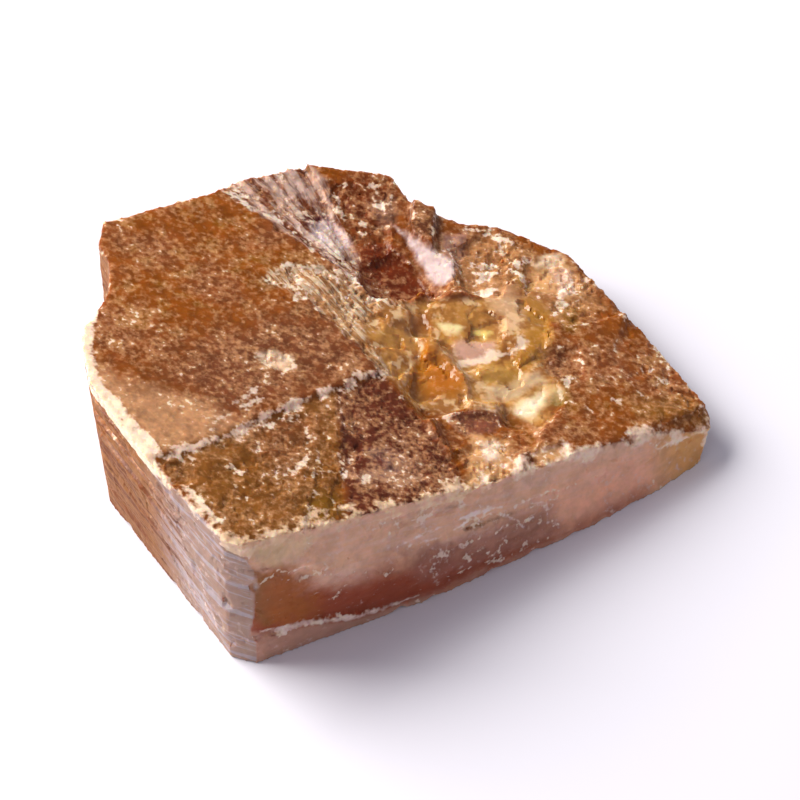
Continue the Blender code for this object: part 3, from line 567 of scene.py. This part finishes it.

# The hollow: the deepest scar, dark red: partly the calcite's own deep colour, partly painted shade at the
# foot of its cliff. A white blade stands at its edge and a furrowed wall of torn cleavage on its left.
HOLLOW = [
    (-4.6, 17.4), (-2.7, 19.9), (-0.4, 18.4), (1.3, 16.5), (2.4, 14.4), (3.4, 12.9), (0.6, 10.6),
    (-2.8, 9.8), (-4.2, 12.0),
]
HOLLOW_BACK = [
    (-7.4, 25.7), (-5.7, 27.0), (-2.7, 28.2), (-1.2, 28.2), (-0.2, 23.6), (-0.4, 21.3), (0.3, 19.4),
    (-2.2, 20.0), (-3.9, 18.5), (-4.6, 18.6), (-5.9, 20.9), (-7.1, 22.3),
]
HOLLOW_DUST = [(-3.4, 23.7), (-1.4, 25.0), (-0.2, 23.3), (-0.2, 21.3), (-1.4, 20.4), (-2.9, 22.2)]
BLADE = [
    (-0.9, 21.4), (0.2, 20.6), (1.8, 18.9), (3.6, 17.7), (5.3, 16.5), (5.2, 15.2), (4.3, 14.1),
    (3.3, 14.3), (2.4, 15.8), (1.0, 18.2),
]
BACK_BROWN = [(0.6, 23.4), (3.6, 23.4), (4.2, 21.9), (3.2, 18.6), (1.6, 19.2), (0.4, 20.6)]
WALL = [
    (-18.2, 21.6), (-10.4, 28.9), (-7.4, 25.7), (-5.9, 20.9), (-4.2, 16.6), (-3.6, 11.2), (-5.3, 12.0),
    (-10.0, 15.6),
]
WALL_BACK = np.array([(-18.2, 21.6), (-10.4, 28.9)])
WALL_FRONT = np.array([(-4.4, 11.6), (-4.0, 15.6)])
WALL_DARK = [(-9.8, 20.3), (-7.8, 22.0), (-7.3, 21.2), (-8.3, 19.5), (-9.5, 18.9)]
WALL_WHITE = [
    (-9.0, 18.8), (-7.1, 21.5), (-5.9, 20.3), (-5.0, 18.3), (-6.1, 16.5), (-7.8, 16.3), (-8.8, 17.5),
]
WALL_STREAK = 0.16  # the width of a streak, as a share of the way from the wall's ridge to its foot
WALL_STREAK_LENGTH = 6.0
WALL_BROWN_AND_SHADE = "#6E3A24"
WALL_LILAC_AND_LIGHT = "#D6BAAE"
ridge, foot = WALL_FRONT - WALL_BACK
from_ridge = (plan - WALL_BACK[0]) @ np.array([-ridge[1], ridge[0]]) / np.linalg.norm(ridge)
from_foot = -(plan - WALL_BACK[1]) @ np.array([-foot[1], foot[0]]) / np.linalg.norm(foot)
wall_across = note("wall_across", from_ridge / np.maximum(from_ridge + from_foot, 0.1))
wall_along = note("wall_along", (plan - WALL_BACK[0]) @ ridge / np.linalg.norm(ridge))
# The streaks are partly the wall's own colour and partly painted light and shade: lit lilac ridges, shaded
# brown furrows
wall_streak = streaks(wall_across, wall_along, WALL_STREAK, WALL_STREAK_LENGTH)
wall_streak = add_node("ShaderNodeMapRange", SMOOTH, {0: wall_streak, 1: 0.42, 2: 0.58})
wall_colour = stained(linear(WALL_BROWN_AND_SHADE), wall_streak, linear(WALL_LILAC_AND_LIGHT))
colour = patched(
    colour,
    {
        "hollow_back": (HOLLOW_BACK, 0.6, 1.2, "#6C3014", 0.85),
        "hollow_dust": (HOLLOW_DUST, 0.5, 0.8, "#8C6C5C", 0.6),
    },
    plan,
)
colour = stained(colour, region("wall", within(plan, WALL), 0.2, 0.4), wall_colour, 0.9)
colour = patched(
    colour,
    {
        "back_brown": (BACK_BROWN, 0.3, 0.5, "#5E3420", 0.85),
        "wall_dark": (WALL_DARK, 0.3, 0.4, "#5E2428", 0.85),
        "wall_white": (WALL_WHITE, 0.4, 0.5, "#DCCBD0", 0.85),
        # the darkest red: partly the stone's own colour, partly painted shade in the deep recess
        "hollow": (HOLLOW, 0.4, 0.8, "#702808", 0.92),
    },
    plan,
)
dust += dusted([(HOLLOW_DUST, 0.6, -0.5, 0.8), (HOLLOW, -0.5, -0.5, 0.5)])

# The sides: cleavage rubbed dull and white-grey, so that they look lilac beside the honey. The front
# has a redder lower half, with a clear amber window at its left end. The left side shows its layers.
FRONT_CORNER = np.array([-15.7, -26.5])
FRONT_WAY = np.array([0.868, 0.497])
FRONT_OUT = np.array([0.497, -0.868, 0.0])
LEFT_WAY = np.array([-0.601, 0.799])
LEFT_OUT = np.array([-0.799, -0.601, 0.0])
SIDE_FACING = (0.45, 0.75)  # how squarely a place has to face a side's way to be part of it
OFF_FACE = 9.0  # a distance that keeps a mark off the other faces
CRACK_STEP = (1.4, 0.7)  # the step at the crack is no side: how far it reaches from the crack
CRACK_DEPTH = (2.4, 1.6)  # and down
RED_LOWER = [
    (0.0, 12.0), (6.8, 9.8), (10.6, 7.6), (14.0, 7.6), (18.8, 6.6), (26.0, 3.8), (34.0, 1.4),
    (44.0, 0.4), (0.0, -1.0),
]
GRANULAR = [(17.1, 7.9), (24.4, 6.1), (31.1, 5.5), (33.9, 4.4), (33.6, 1.4), (26.5, 1.8), (18.3, 3.0)]
FRONT_WINDOW = [
    (0.8, 15.1), (4.7, 13.2), (6.8, 9.6), (8.6, 5.4), (8.1, 3.2), (4.7, 3.9), (3.2, 4.1), (1.9, 6.6),
    (1.4, 10.6),
]
WINDOW_DEPTH = [(0.8, 15.1), (3.1, 13.4), (2.7, 9.4), (3.2, 4.8), (2.0, 6.0), (1.4, 10.6)]
CREAM_BLOT = [(2.0, 16.9), (5.2, 16.0), (9.0, 14.4), (6.4, 13.6), (4.4, 13.6), (2.0, 14.6)]
FOOT_GROUND = [
    (0.0, 6.0), (2.7, 3.9), (6.9, 3.0), (9.0, 2.4), (12.1, 1.2), (20.0, 0.6), (20.0, -1.0),
    (0.0, -1.0),
]
PINK_END_GLOW = [(34.0, 5.4), (39.5, 5.2), (45.6, 4.9), (47.6, 0.1), (40.7, -0.4), (34.4, -0.4)]
HIDDEN_HONEY = "#7E4C26"
DULL_LILAC = "#A58A7E"
front_along = (plan - FRONT_CORNER) @ FRONT_WAY
left_along = (plan - FRONT_CORNER) @ LEFT_WAY
front = ramp(facings @ FRONT_OUT, *SIDE_FACING)
left = ramp(facings @ LEFT_OUT, *SIDE_FACING)
on_front = np.stack([front_along, places[:, 2]], axis=1)
off_front = OFF_FACE * (front < 0.5)
off_crack = 1.0 - ramp(from_line(plan, CRACK), *CRACK_STEP) * ramp(under_top, *CRACK_DEPTH)
side_share = add_node("ShaderNodeMath", SUBTRACT, {0: 1.0, 1: top_share})
front_share = add_node("ShaderNodeMath", MULTIPLY, {0: note("front", front * off_crack), 1: side_share})
left_share = add_node("ShaderNodeMath", MULTIPLY, {0: note("left", left * off_crack), 1: side_share})
along_front = note("front_along", front_along)
along_left = note("left_along", left_along)
depth = note("under_top", under_top)

# The hidden sides are honey brown with dull lilac patches
colour = stained(colour, side_share, linear(HIDDEN_HONEY), 0.85)
dull_share = add_node("ShaderNodeMapRange", SMOOTH, {0: swell, 1: 0.46, 2: 0.60})
dull_share = add_node("ShaderNodeMath", MULTIPLY, {0: side_share, 1: dull_share})
colour = stained(colour, dull_share, linear(DULL_LILAC), 0.6)

# The front: fine streaks run along it, and a lighter cream band under the rim is a painted reflection of
# light along the front's top edge
FRONT_PINK = "#E2B296"
FRONT_STREAK = "#DEBAB0"
FRONT_STREAK_WIDTH = 0.7
FRONT_STREAK_LENGTH = 7.0
UNDER_RIM_REFLECTION = "#E2BCA4"
UNDER_RIM_DEPTH = 2.4
UNDER_RIM_FULL = 0.4
END_AMBER_GLOW = "#D69C5A"
END_FROM = 43.5  # where the painted amber glow of the thin end begins along the front
END_FULL = 49.5
colour = stained(colour, front_share, linear(FRONT_PINK), 0.97)
front_streak = streaks(depth, along_front, FRONT_STREAK_WIDTH, FRONT_STREAK_LENGTH)
front_streak = add_node("ShaderNodeMapRange", SMOOTH, {0: front_streak, 1: 0.44, 2: 0.60})
front_streak = add_node("ShaderNodeMath", MULTIPLY, {0: front_share, 1: front_streak})
colour = stained(colour, front_streak, linear(FRONT_STREAK), 0.35)
# Painted reflection: the front made lighter and creamier just under its top edge
under_rim_reflection = add_node("ShaderNodeMapRange", SMOOTH, {0: depth, 1: UNDER_RIM_DEPTH, 2: UNDER_RIM_FULL})
under_rim_reflection = add_node("ShaderNodeMath", MULTIPLY, {0: front_share, 1: under_rim_reflection})
colour = stained(colour, under_rim_reflection, linear(UNDER_RIM_REFLECTION), 0.5)
colour = patched(
    colour,
    {
        # the peach right end: partly its own colour, partly painted glow where the stone is thin
        "pink_end_glow": (PINK_END_GLOW, 0.8, 3.0, "#F0B094", 0.85),
        "red_lower": (RED_LOWER, 0.4, 2.2, "#8E3C22", 0.95),
        "granular": (GRANULAR, 0.4, 1.2, "#9C685A", 0.7),
        "foot_ground": (FOOT_GROUND, 0.2, 0.4, "#BE9482", 0.8),
        "front_window": (FRONT_WINDOW, 0.6, 1.1, "#9A5420", 0.97),
        "window_depth": (WINDOW_DEPTH, 0.3, 0.8, "#80582C", 0.6),
        "cream_blot": (CREAM_BLOT, 0.4, 0.8, "#E0C09A", 0.75),
    },
    on_front,
    off_front,
)
# Painted glow: the thin right end made lighter and more amber, as if light came through it
end_glow = add_node("ShaderNodeMapRange", SMOOTH, {0: along_front, 1: END_FROM, 2: END_FULL})
end_glow = add_node("ShaderNodeMath", MULTIPLY, {0: front_share, 1: end_glow})
colour = stained(colour, end_glow, linear(END_AMBER_GLOW), 0.85)

# The left side: pale lilac near the corner, then brown, peach and lilac layers that run back
LEFT_LILAC = "#B4A6AA"
LAYER_THICKNESS = 1.0
LAYER_LENGTH = 14.0
LAYER_HONEY = "#7A4010"
LAYER_PEACH = "#A0744E"
LAYER_BROWN = "#6A3A28"
HONEY_FROM = 7.0  # how far from the corner the honey colour begins, and is full
HONEY_FULL = 15.0
BROWN_FROM = 5.0  # and the brown layers
BROWN_FULL = 9.0
colour = stained(colour, left_share, linear(LEFT_LILAC), 0.97)
layered = add_node("ShaderNodeMapRange", SMOOTH, {0: along_left, 1: HONEY_FROM, 2: HONEY_FULL})
layered = add_node("ShaderNodeMath", MULTIPLY, {0: left_share, 1: layered})
layer = streaks(depth, along_left, LAYER_THICKNESS, LAYER_LENGTH)
colour = stained(colour, layered, linear(LAYER_HONEY), 0.95)
peach_layer = add_node("ShaderNodeMapRange", SMOOTH, {0: layer, 1: 0.40, 2: 0.50})
peach_layer = add_node("ShaderNodeMath", MULTIPLY, {0: left_share, 1: peach_layer})
colour = stained(colour, peach_layer, linear(LAYER_PEACH), 0.6)
brown_layer = add_node("ShaderNodeMapRange", SMOOTH, {0: layer, 1: 0.54, 2: 0.60})
streaked = add_node("ShaderNodeMapRange", SMOOTH, {0: along_left, 1: BROWN_FROM, 2: BROWN_FULL})
streaked = add_node("ShaderNodeMath", MULTIPLY, {0: left_share, 1: streaked})
brown_layer = add_node("ShaderNodeMath", MULTIPLY, {0: streaked, 1: brown_layer})
colour = stained(colour, brown_layer, linear(LAYER_BROWN), 0.75)

# Grain over everything but the clear windows: darker and lighter crystals, a veil of frost that is
# peach on the top and lilac on the sides, then white flecks, partly ground calcite and partly painted
# sparkle highlights, where the stone is dusty
PEPPER_TONES = (0.78, 1.20)  # the darkest and the lightest clump
CRYSTAL_TONES = (0.95, 1.05)  # and crystal
SMOOTH_LOSS = 0.7  # how much of the grain a smooth face lacks
HOLLOW_CLEAR = 0.3  # how clear the hollow and the front's window are beside the glassy facets
SIDE_SMOOTH = 0.9  # how smooth the front and the left side are
MOST_DUST = 1.2
PEACH_FROST = "#DEA676"
SIDE_FROST = "#DCC2BA"
LAYER_FROST = "#C48E5C"
FROST_LEAST = (0.38, 0.48)  # how much powder makes frost on the top and on the sides
FROST_FULL = 0.82
CALCITE_WHITE_AND_SPARKLE = "#F6E6D2"
FLECK_LEAST = 1.15
FLECK_FULL = 1.36
TONE = {"data_type": "RGBA", "blend_type": "MULTIPLY"}
in_hollow = top * ramp(within(plan, HOLLOW), -0.4, 0.4)
in_front_window = ramp(within(on_front, FRONT_WINDOW) - off_front, -0.3, 0.6)
clear = np.maximum.reduce([glassy, HOLLOW_CLEAR * in_hollow, HOLLOW_CLEAR * in_front_window])
smooth_sides = in_front_window + SIDE_SMOOTH * side * np.maximum(left, front)
clear_share = note("clear", clear)
smooth_share = note("smooth", np.clip(np.maximum(clear, smooth_sides), 0.0, 1.0))
frosted = add_node("ShaderNodeMath", MULTIPLY_ADD, {0: smooth_share, 1: -SMOOTH_LOSS, 2: 1.0})
darker, lighter = PEPPER_TONES
pepper_tone = add_node("ShaderNodeMapRange", {}, {0: pepper, 1: 0.36, 2: 0.64, 3: darker, 4: lighter})
colour = add_node("ShaderNodeMix", TONE, {0: frosted, 6: colour, 7: pepper_tone})
darker, lighter = CRYSTAL_TONES
crystal_tone = add_node("ShaderNodeMapRange", {}, {0: grain_tone, 3: darker, 4: lighter})
colour = add_node("ShaderNodeMix", TONE, {0: frosted, 6: colour, 7: crystal_tone})
dust_share = note("dust", np.clip(dust, -1.0, MOST_DUST) * (1.0 - side))
off_swell = add_node("ShaderNodeMath", SUBTRACT, {0: swell, 1: 0.5})
powder = sugar
for source, much in (
    (off_middle, 0.75),  # the powder lies in clouds
    (off_swell, 0.5),
    (dust_share, 0.09),
    (smooth_share, -0.14),
    (grain_tone.node.outputs["Green"], 0.05),  # each crystal holds a little more or less
):
    powder = add_node("ShaderNodeMath", MULTIPLY_ADD, {0: source, 1: much, 2: powder})
frost_colour = stained(linear(PEACH_FROST), side_share, linear(SIDE_FROST))
frost_colour = stained(frost_colour, layered, linear(LAYER_FROST), 0.85)
on_top_least, on_side_least = FROST_LEAST
frost_least = add_node("ShaderNodeMapRange", {}, {0: side_share, 3: on_top_least, 4: on_side_least})
frost_share = add_node("ShaderNodeMapRange", SMOOTH, {0: powder, 1: frost_least, 2: FROST_FULL})
colour = stained(colour, frost_share, frost_colour, 0.58)
# White flecks: partly ground calcite dust, partly painted sparkle highlights
flecks = add_node("ShaderNodeMath", MULTIPLY_ADD, {0: crumbs, 1: 0.8, 2: powder})
fleck_share = add_node("ShaderNodeMapRange", SMOOTH, {0: flecks, 1: FLECK_LEAST, 2: FLECK_FULL})
colour = stained(colour, fleck_share, linear(CALCITE_WHITE_AND_SPARKLE), 0.8)
colour = patched(colour, {"blade": (BLADE, 0.2, 0.4, "#DCC8C8", 0.9)}, plan)

# Whitened edges: knocks have bruised every rim to white powder, widest along the left and the right front
# rim, and have crumbled it a little. Fine lines of the same powder lie in the cracks and on the ridges.
# The line along the crack is also painted light over the step's shaded face, and the line at the foot
# of the front is partly a painted highlight where a ledge catches the light.
LEFT_RIM = [
    (-30.3, 0.9), (-29.7, -7.3), (-28.0, -10.5), (-23.8, -16.2), (-21.7, -19.6), (-18.4, -23.4),
    (-15.6, -26.4),
]
FRONT_RIM = [(-15.2, -26.2), (-10.3, -23.4), (-5.3, -20.5), (0.5, -17.2), (8.0, -12.9)]
RIGHT_RIM = [(8.0, -12.9), (13.5, -9.8), (16.6, -8.0), (22.0, -4.9)]
TIP_RIM = [(22.0, -5.0, 7.2), (26.0, -2.8, 5.4), (30.4, -0.4, 2.6)]
ROSE_RIM = [(5.9, 3.2), (7.6, 3.8), (9.2, 4.6), (10.7, 5.1), (11.4, 6.0), (11.5, 6.9)]
WINDOW_LINES = (
    [(-5.5, 6.2), (-3.7, 4.2), (-2.2, 2.2), (-1.4, -0.4), (-0.2, -2.0), (1.3, -2.3), (2.6, -3.6)],
    [(-1.5, 8.3), (0.1, 7.4), (1.6, 5.2), (2.0, 4.4), (1.2, 2.5), (0.3, -0.1)],
    [(5.6, 2.3), (6.6, 1.3), (7.8, 0.3), (9.6, 0.1)],
    [(2.8, -2.3), (4.6, -2.0), (6.1, -2.4), (9.0, -2.8)],
    [(3.1, -3.0), (5.3, -2.8), (9.0, -3.3)],
    [(-0.2, 8.7), (-1.5, 7.2), (-0.6, 6.2)],
)
SHELF_LINES = (
    [
        (-3.2, 9.2), (0.3, 10.4), (1.9, 11.6), (3.6, 12.2), (5.9, 11.9), (7.7, 13.5), (9.8, 14.5),
        (11.9, 15.6),
    ],
    [(5.3, 22.1), (6.7, 22.1), (9.0, 21.3), (11.2, 20.8)],
    [(4.4, 16.2), (6.2, 17.4), (8.8, 17.6), (12.6, 18.2)],
    [(6.4, 14.2), (8.2, 16.0), (11.0, 16.6)],
    [(-2.7, 24.0), (-1.4, 22.7), (-0.3, 21.3)],
)
WALL_LINES = (
    [(-16.4, 20.6), (-11.9, 18.0), (-10.5, 17.2), (-9.0, 16.0), (-7.4, 14.0)],
    [(-13.6, 26.6), (-11.8, 25.2), (-10.3, 23.3), (-8.6, 21.9)],
)
DUST_LINES = (
    [(-17.4, -11.0), (-14.6, -8.2), (-11.9, -5.9)],
    [(-16.9, -9.5), (-13.4, -5.5)],
)
PATCH_LINE = [(-6.2, -8.5), (-5.7, -12.6), (-5.2, -17.3), (-5.3, -20.6)]
FOOT_POWDER_AND_HIGHLIGHT = [(2.4, 4.3), (4.7, 3.5), (6.9, 3.2), (9.0, 2.6), (12.1, 1.4), (15.2, 1.2), (18.6, 1.2)]
FRONT_LINES = (
    [(17.7, 8.9), (21.0, 8.6), (23.9, 8.3), (26.8, 7.8), (28.4, 7.2)],
    [(18.0, 8.3), (21.2, 7.6), (24.2, 7.5)],
    [(28.5, 6.2), (29.7, 5.0), (30.4, 3.6)],
    [(31.6, 5.9), (33.2, 5.2), (33.0, 3.0)],
)
RIM_NEAR = (3.0, 1.5)  # from how far a rim counts as near, in mm, and from how far wholly
CORNER_NEAR = (3.4, 0.4)
BACK_NEAR = (3.0, 0.5)
CRUMBLE_REACH = 0.5
CRUMBLE_DEPTH = 0.18
CRUMBLE_SIZE = 0.7
CRUMBLE_SEED = 31
POWDER_WHITE = "#F4E4D2"


def on_top(line, depth):
    """Plan points as places at a depth under the top cleavage face."""
    return [(x, y, TOP_HEIGHT - TOP_FALL[0] * x - TOP_FALL[1] * y - depth) for x, y in line]


left_line = from_line(places, on_top(LEFT_RIM, 0.1))
front_line = from_line(places, on_top(FRONT_RIM, 0.3))
right_line = np.minimum(from_line(places, on_top(RIGHT_RIM, 0.1)), from_line(places, TIP_RIM))
near_left, near_front, near_right = ramp(np.stack([left_line, front_line, right_line]), *RIM_NEAR)
near_back_left = ramp(from_line(places, on_top(LEFT_RIM[:4], 0.1)), *BACK_NEAR)
near_corner = ramp(from_line(places, on_top(LEFT_RIM[-2:], 0.5)), *CORNER_NEAR) * near_front
crumbly = 0.5 + 0.9 * swells(CRUMBLE_SIZE, CRUMBLE_SEED)  # some of each edge stays whole
crumble = np.clip(1.0 - from_rim / CRUMBLE_REACH, 0.0, 1.0) * crumbly
carving -= CRUMBLE_DEPTH * np.clip(crumble, 0.0, 1.0)


def whitened(colour, name, distance, reach, blur, strength, powder_colour=POWDER_WHITE, crumbling=1.5):
    """The colour so far, powdered near a line, as far as a reach that wanders between two widths in mm."""
    span = {0: mottle, 1: 0.42, 2: 0.58, 3: reach[0], 4: reach[1]}
    width = add_node("ShaderNodeMapRange", {"clamp": False}, span)
    inner = add_node("ShaderNodeMath", SUBTRACT, {0: width, 1: note(name, distance)})
    broken = add_node("ShaderNodeMath", MULTIPLY_ADD, {0: off_sugar, 1: crumbling, 2: inner})
    share = add_node("ShaderNodeMapRange", SMOOTH, {0: broken, 1: 0.0, 2: blur})
    return stained(colour, share, linear(powder_colour), strength), share


def from_lines(points, lines):
    """Each point's distance in mm from the nearest of some lines."""
    return np.minimum.reduce([from_line(points, line) for line in lines])


off_top = OFF_FACE * side
off_window = OFF_FACE * ramp(window, -0.3, 0.5)
off_low_left = OFF_FACE * left * ramp(under_top, 0.8, 1.6)
off_below = OFF_FACE * ramp(under_top, 1.5, 2.5)
off_left, off_front_rim, off_right = OFF_FACE * (1.0 - np.stack([near_left, near_front, near_right]))
scar_edge = from_scar + off_window + OFF_FACE * np.maximum(front, left)
rim_edge = from_rim + off_window + off_low_left
left_edge = np.minimum(left_line, from_rim + off_left) - 0.7 * near_back_left  # wider towards the back
front_edge = from_rim + off_front_rim - near_corner  # and at the front corner
right_edge = np.minimum(right_line, from_rim + off_right)
# the crack's line: partly powder, partly painted light over the shaded face of the step below it
crack = from_line(plan, CRACK) + off_below
dust_lines = from_lines(plan, DUST_LINES) + off_top
patch_line = from_line(plan, PATCH_LINE) + off_top
window_marks = from_lines(plan, WINDOW_LINES)
rose_rim = from_line(plan, ROSE_RIM)
shelf_marks = from_lines(plan, (*SHELF_LINES, *WALL_LINES)) + off_top
# the foot line: partly powder, partly a painted highlight where the ledge at the foot catches the light
foot_line = from_line(on_front, FOOT_POWDER_AND_HIGHLIGHT) + off_front
front_marks = from_lines(on_front, FRONT_LINES) + off_front
whites = {}
for name, *mark in (  # distance, reach, blur, strength, then colour and crumbling where they are special
    ("scar_edge", scar_edge, (-0.25, 0.20), 0.4, 0.5),
    ("rim_edge", rim_edge, (-0.15, 0.35), 0.4, 0.6),
    ("crack", crack, (0.25, 0.65), 0.5, 0.8, "#ECD2C0", 1.0),
    ("dust_lines", dust_lines, (-0.1, 0.5), 0.6, 0.7, "#E6D4C4"),
    ("patch_line", patch_line, (-0.1, 0.25), 0.4, 0.6),
    ("window_marks", window_marks, (0.2, 0.35), 0.5, 0.7, "#F2D8B8", 0.3),
    ("rose_rim", rose_rim, (0.4, 0.8), 0.5, 0.85, "#F6DEC8", 0.3),
    ("shelf_marks", shelf_marks, (0.0, 0.5), 0.4, 0.75),
    ("left_edge", left_edge, (0.4, 0.9), 0.7, 0.85, "#FBE8D0", 0.8),
    ("front_edge", front_edge, (0.5, 1.3), 1.0, 0.75, "#EED0B0"),
    ("right_edge", right_edge, (0.4, 1.0), 0.9, 0.8, "#F6E0CC", 0.8),
    ("foot_line", foot_line, (0.25, 0.5), 0.4, 0.75, "#F4E0D8", 0.3),
    ("front_marks", front_marks, (0.12, 0.3), 0.3, 0.75, "#F4E4E0", 0.25),
):
    colour, whites[name] = whitened(colour, name, *mark)

# The finish of the stone: carving only takes stone away, and leaves the underside flat. Frosted and
# powdered faces are matt, and the fresh facets of the window shine like wet glass. Light goes a
# millimetre or so into calcite and comes out red, which is what makes it look like honey.
CARVING_LEVEL = 0.05  # how far the relief is sunk, so that its bumps stay below the face
DEEPEST_CARVING = 0.6
FLAT_FOOT = (0.05, 0.6)  # no carving up to the first height, and all of it from the second
CALCITE_IOR = 1.6
GRAIN_TILT = 0.22  # each crystal catches the light a little differently
SUGAR_RELIEF = 0.10  # in mm
FROSTED_ROUGHNESS = 0.45
GLASSY_ROUGHNESS = 0.2
POWDERED_ROUGHNESS = 0.65
LIGHT_REACH = 0.9  # in mm
FACET_ANGLE = math.radians(14)  # faces that meet at less than this look like one
LARGER = {"operation": "MAXIMUM"}
carving = np.clip(carving - CARVING_LEVEL, -DEEPEST_CARVING, 0.0) * ramp(places[:, 2], *FLAT_FOOT)
carved = (places + facings * carving[:, None] + OUTLINE_SHIFT) * MM
carved = np.clip(carved, *(np.array(corner) for corner in cad_box))
stone.data.vertices.foreach_set("co", carved.astype(np.float32).ravel())
stone.data.update()

tilt = add_node("ShaderNodeVectorMath", SUBTRACT, {0: grain_shade, 1: MIDDLE_GREY})
tilt_share = add_node("ShaderNodeMath", MULTIPLY, {0: frosted, 1: GRAIN_TILT})
tilt = add_node("ShaderNodeVectorMath", SCALE, {0: tilt, "Scale": tilt_share})
facing = add_node("ShaderNodeNewGeometry", {}, {}).node.outputs["Normal"]
facing = add_node("ShaderNodeVectorMath", ADD, {0: facing, 1: tilt})
facing = add_node("ShaderNodeVectorMath", {"operation": "NORMALIZE"}, {0: facing})
relief = {"Height": sugar, "Distance": SUGAR_RELIEF * MM, "Strength": 0.25, "Normal": facing}
bump = add_node("ShaderNodeBump", {}, relief)
powdered = add_node("ShaderNodeMath", LARGER, {0: whites["left_edge"], 1: whites["rim_edge"]})
powdered = add_node("ShaderNodeMath", LARGER, {0: powdered, 1: side_share})
span = {0: clear_share, 3: FROSTED_ROUGHNESS, 4: GLASSY_ROUGHNESS}
roughness = add_node("ShaderNodeMapRange", {}, span)
roughness = add_node("ShaderNodeMix", {}, {0: powdered, 2: roughness, 3: POWDERED_ROUGHNESS})
gloss = add_node("ShaderNodeMath", MULTIPLY, {0: clear_share, 1: 0.5})
shader = add_node(
    "ShaderNodeBsdfPrincipled",
    {"subsurface_method": "RANDOM_WALK"},
    {
        "Base Color": colour,
        "Roughness": roughness,
        "IOR": CALCITE_IOR,
        "Specular IOR Level": 0.1,  # fine frost breaks up most of the shine
        "Normal": bump,
        "Subsurface Weight": 0.7,
        "Subsurface Radius": (1.0, 0.5, 0.2),
        "Subsurface Scale": LIGHT_REACH * MM,
        "Coat Weight": gloss,
        "Coat Roughness": 0.12,
        "Coat IOR": CALCITE_IOR,
    },
)
add_node("ShaderNodeOutputMaterial", {}, {"Surface": shader})
stone.data.materials.clear()
stone.data.materials.append(calcite)
bpy.ops.object.shade_smooth_by_angle(angle=FACET_ANGLE)
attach(stone, "root")
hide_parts("calcite_block")

# The floor: one plain pale sheet of matt paper, much wider than the picture. It is a little blue, so that
# it looks white under the warm lamp.
FLOOR_WIDTH = 3.0
PAPER_WHITE = "#EAECFA"
PAPER_ROUGHNESS = 0.7
bpy.ops.object.select_all(action="DESELECT")
bpy.ops.mesh.primitive_plane_add(size=FLOOR_WIDTH, location=(0, 0, 0))
floor = bpy.context.object
floor.name = "floor"
paper = bpy.data.materials.new("white_floor_paper")
paper.use_nodes = True
paper.node_tree.nodes["Principled BSDF"].inputs["Base Color"].default_value = linear(PAPER_WHITE)
paper.node_tree.nodes["Principled BSDF"].inputs["Roughness"].default_value = PAPER_ROUGHNESS
floor.data.materials.append(paper)

# The light: a bright even room, and one soft lamp high at the back left, which throws the block's shade
# to the front right
ROOM_COLOUR = (0.98, 0.92, 0.98, 1.0)
ROOM_BRIGHTNESS = 0.36
LAMP_PLACE = (-0.48, 0.20, 0.44)
LAMP_WIDTH = 0.5
LAMP_COLOUR = (1.0, 0.94, 0.86)
LAMP_POWER = 8.4
world = bpy.data.worlds.new("white_room")
bpy.context.scene.world = world
world.use_nodes = True
world.node_tree.nodes["Background"].inputs["Color"].default_value = ROOM_COLOUR
world.node_tree.nodes["Background"].inputs["Strength"].default_value = ROOM_BRIGHTNESS
bpy.ops.object.light_add(type="AREA", location=LAMP_PLACE)
key_lamp = bpy.context.object
key_lamp.name = "key_lamp"
key_lamp.data.size = LAMP_WIDTH
key_lamp.data.color = LAMP_COLOUR
key_lamp.data.energy = LAMP_POWER
key_lamp.rotation_euler = (-key_lamp.location).to_track_quat("-Z", "Y").to_euler()

# The camera: it looks down on the block's front from about half a metre away, through a lens so long
# that the block's edges hardly draw together
ELEVATION = math.radians(50)
DISTANCE = 475.0
AIM = (-0.198, 0.064, 7.0)
LENS = 222
SENSOR = 36
aim = Vector(OUTLINE_SHIFT + np.array(AIM))
eye = aim + Vector((0, -math.cos(ELEVATION), math.sin(ELEVATION))) * DISTANCE
bpy.ops.object.camera_add(location=eye * MM)
camera = bpy.context.object
camera.rotation_euler = (math.radians(90) - ELEVATION, 0, 0)
camera.data.lens = LENS
camera.data.sensor_width = SENSOR
bpy.context.scene.camera = camera
bpy.context.scene.view_settings.view_transform = "Standard"
bpy.context.scene.cycles.use_denoising = True
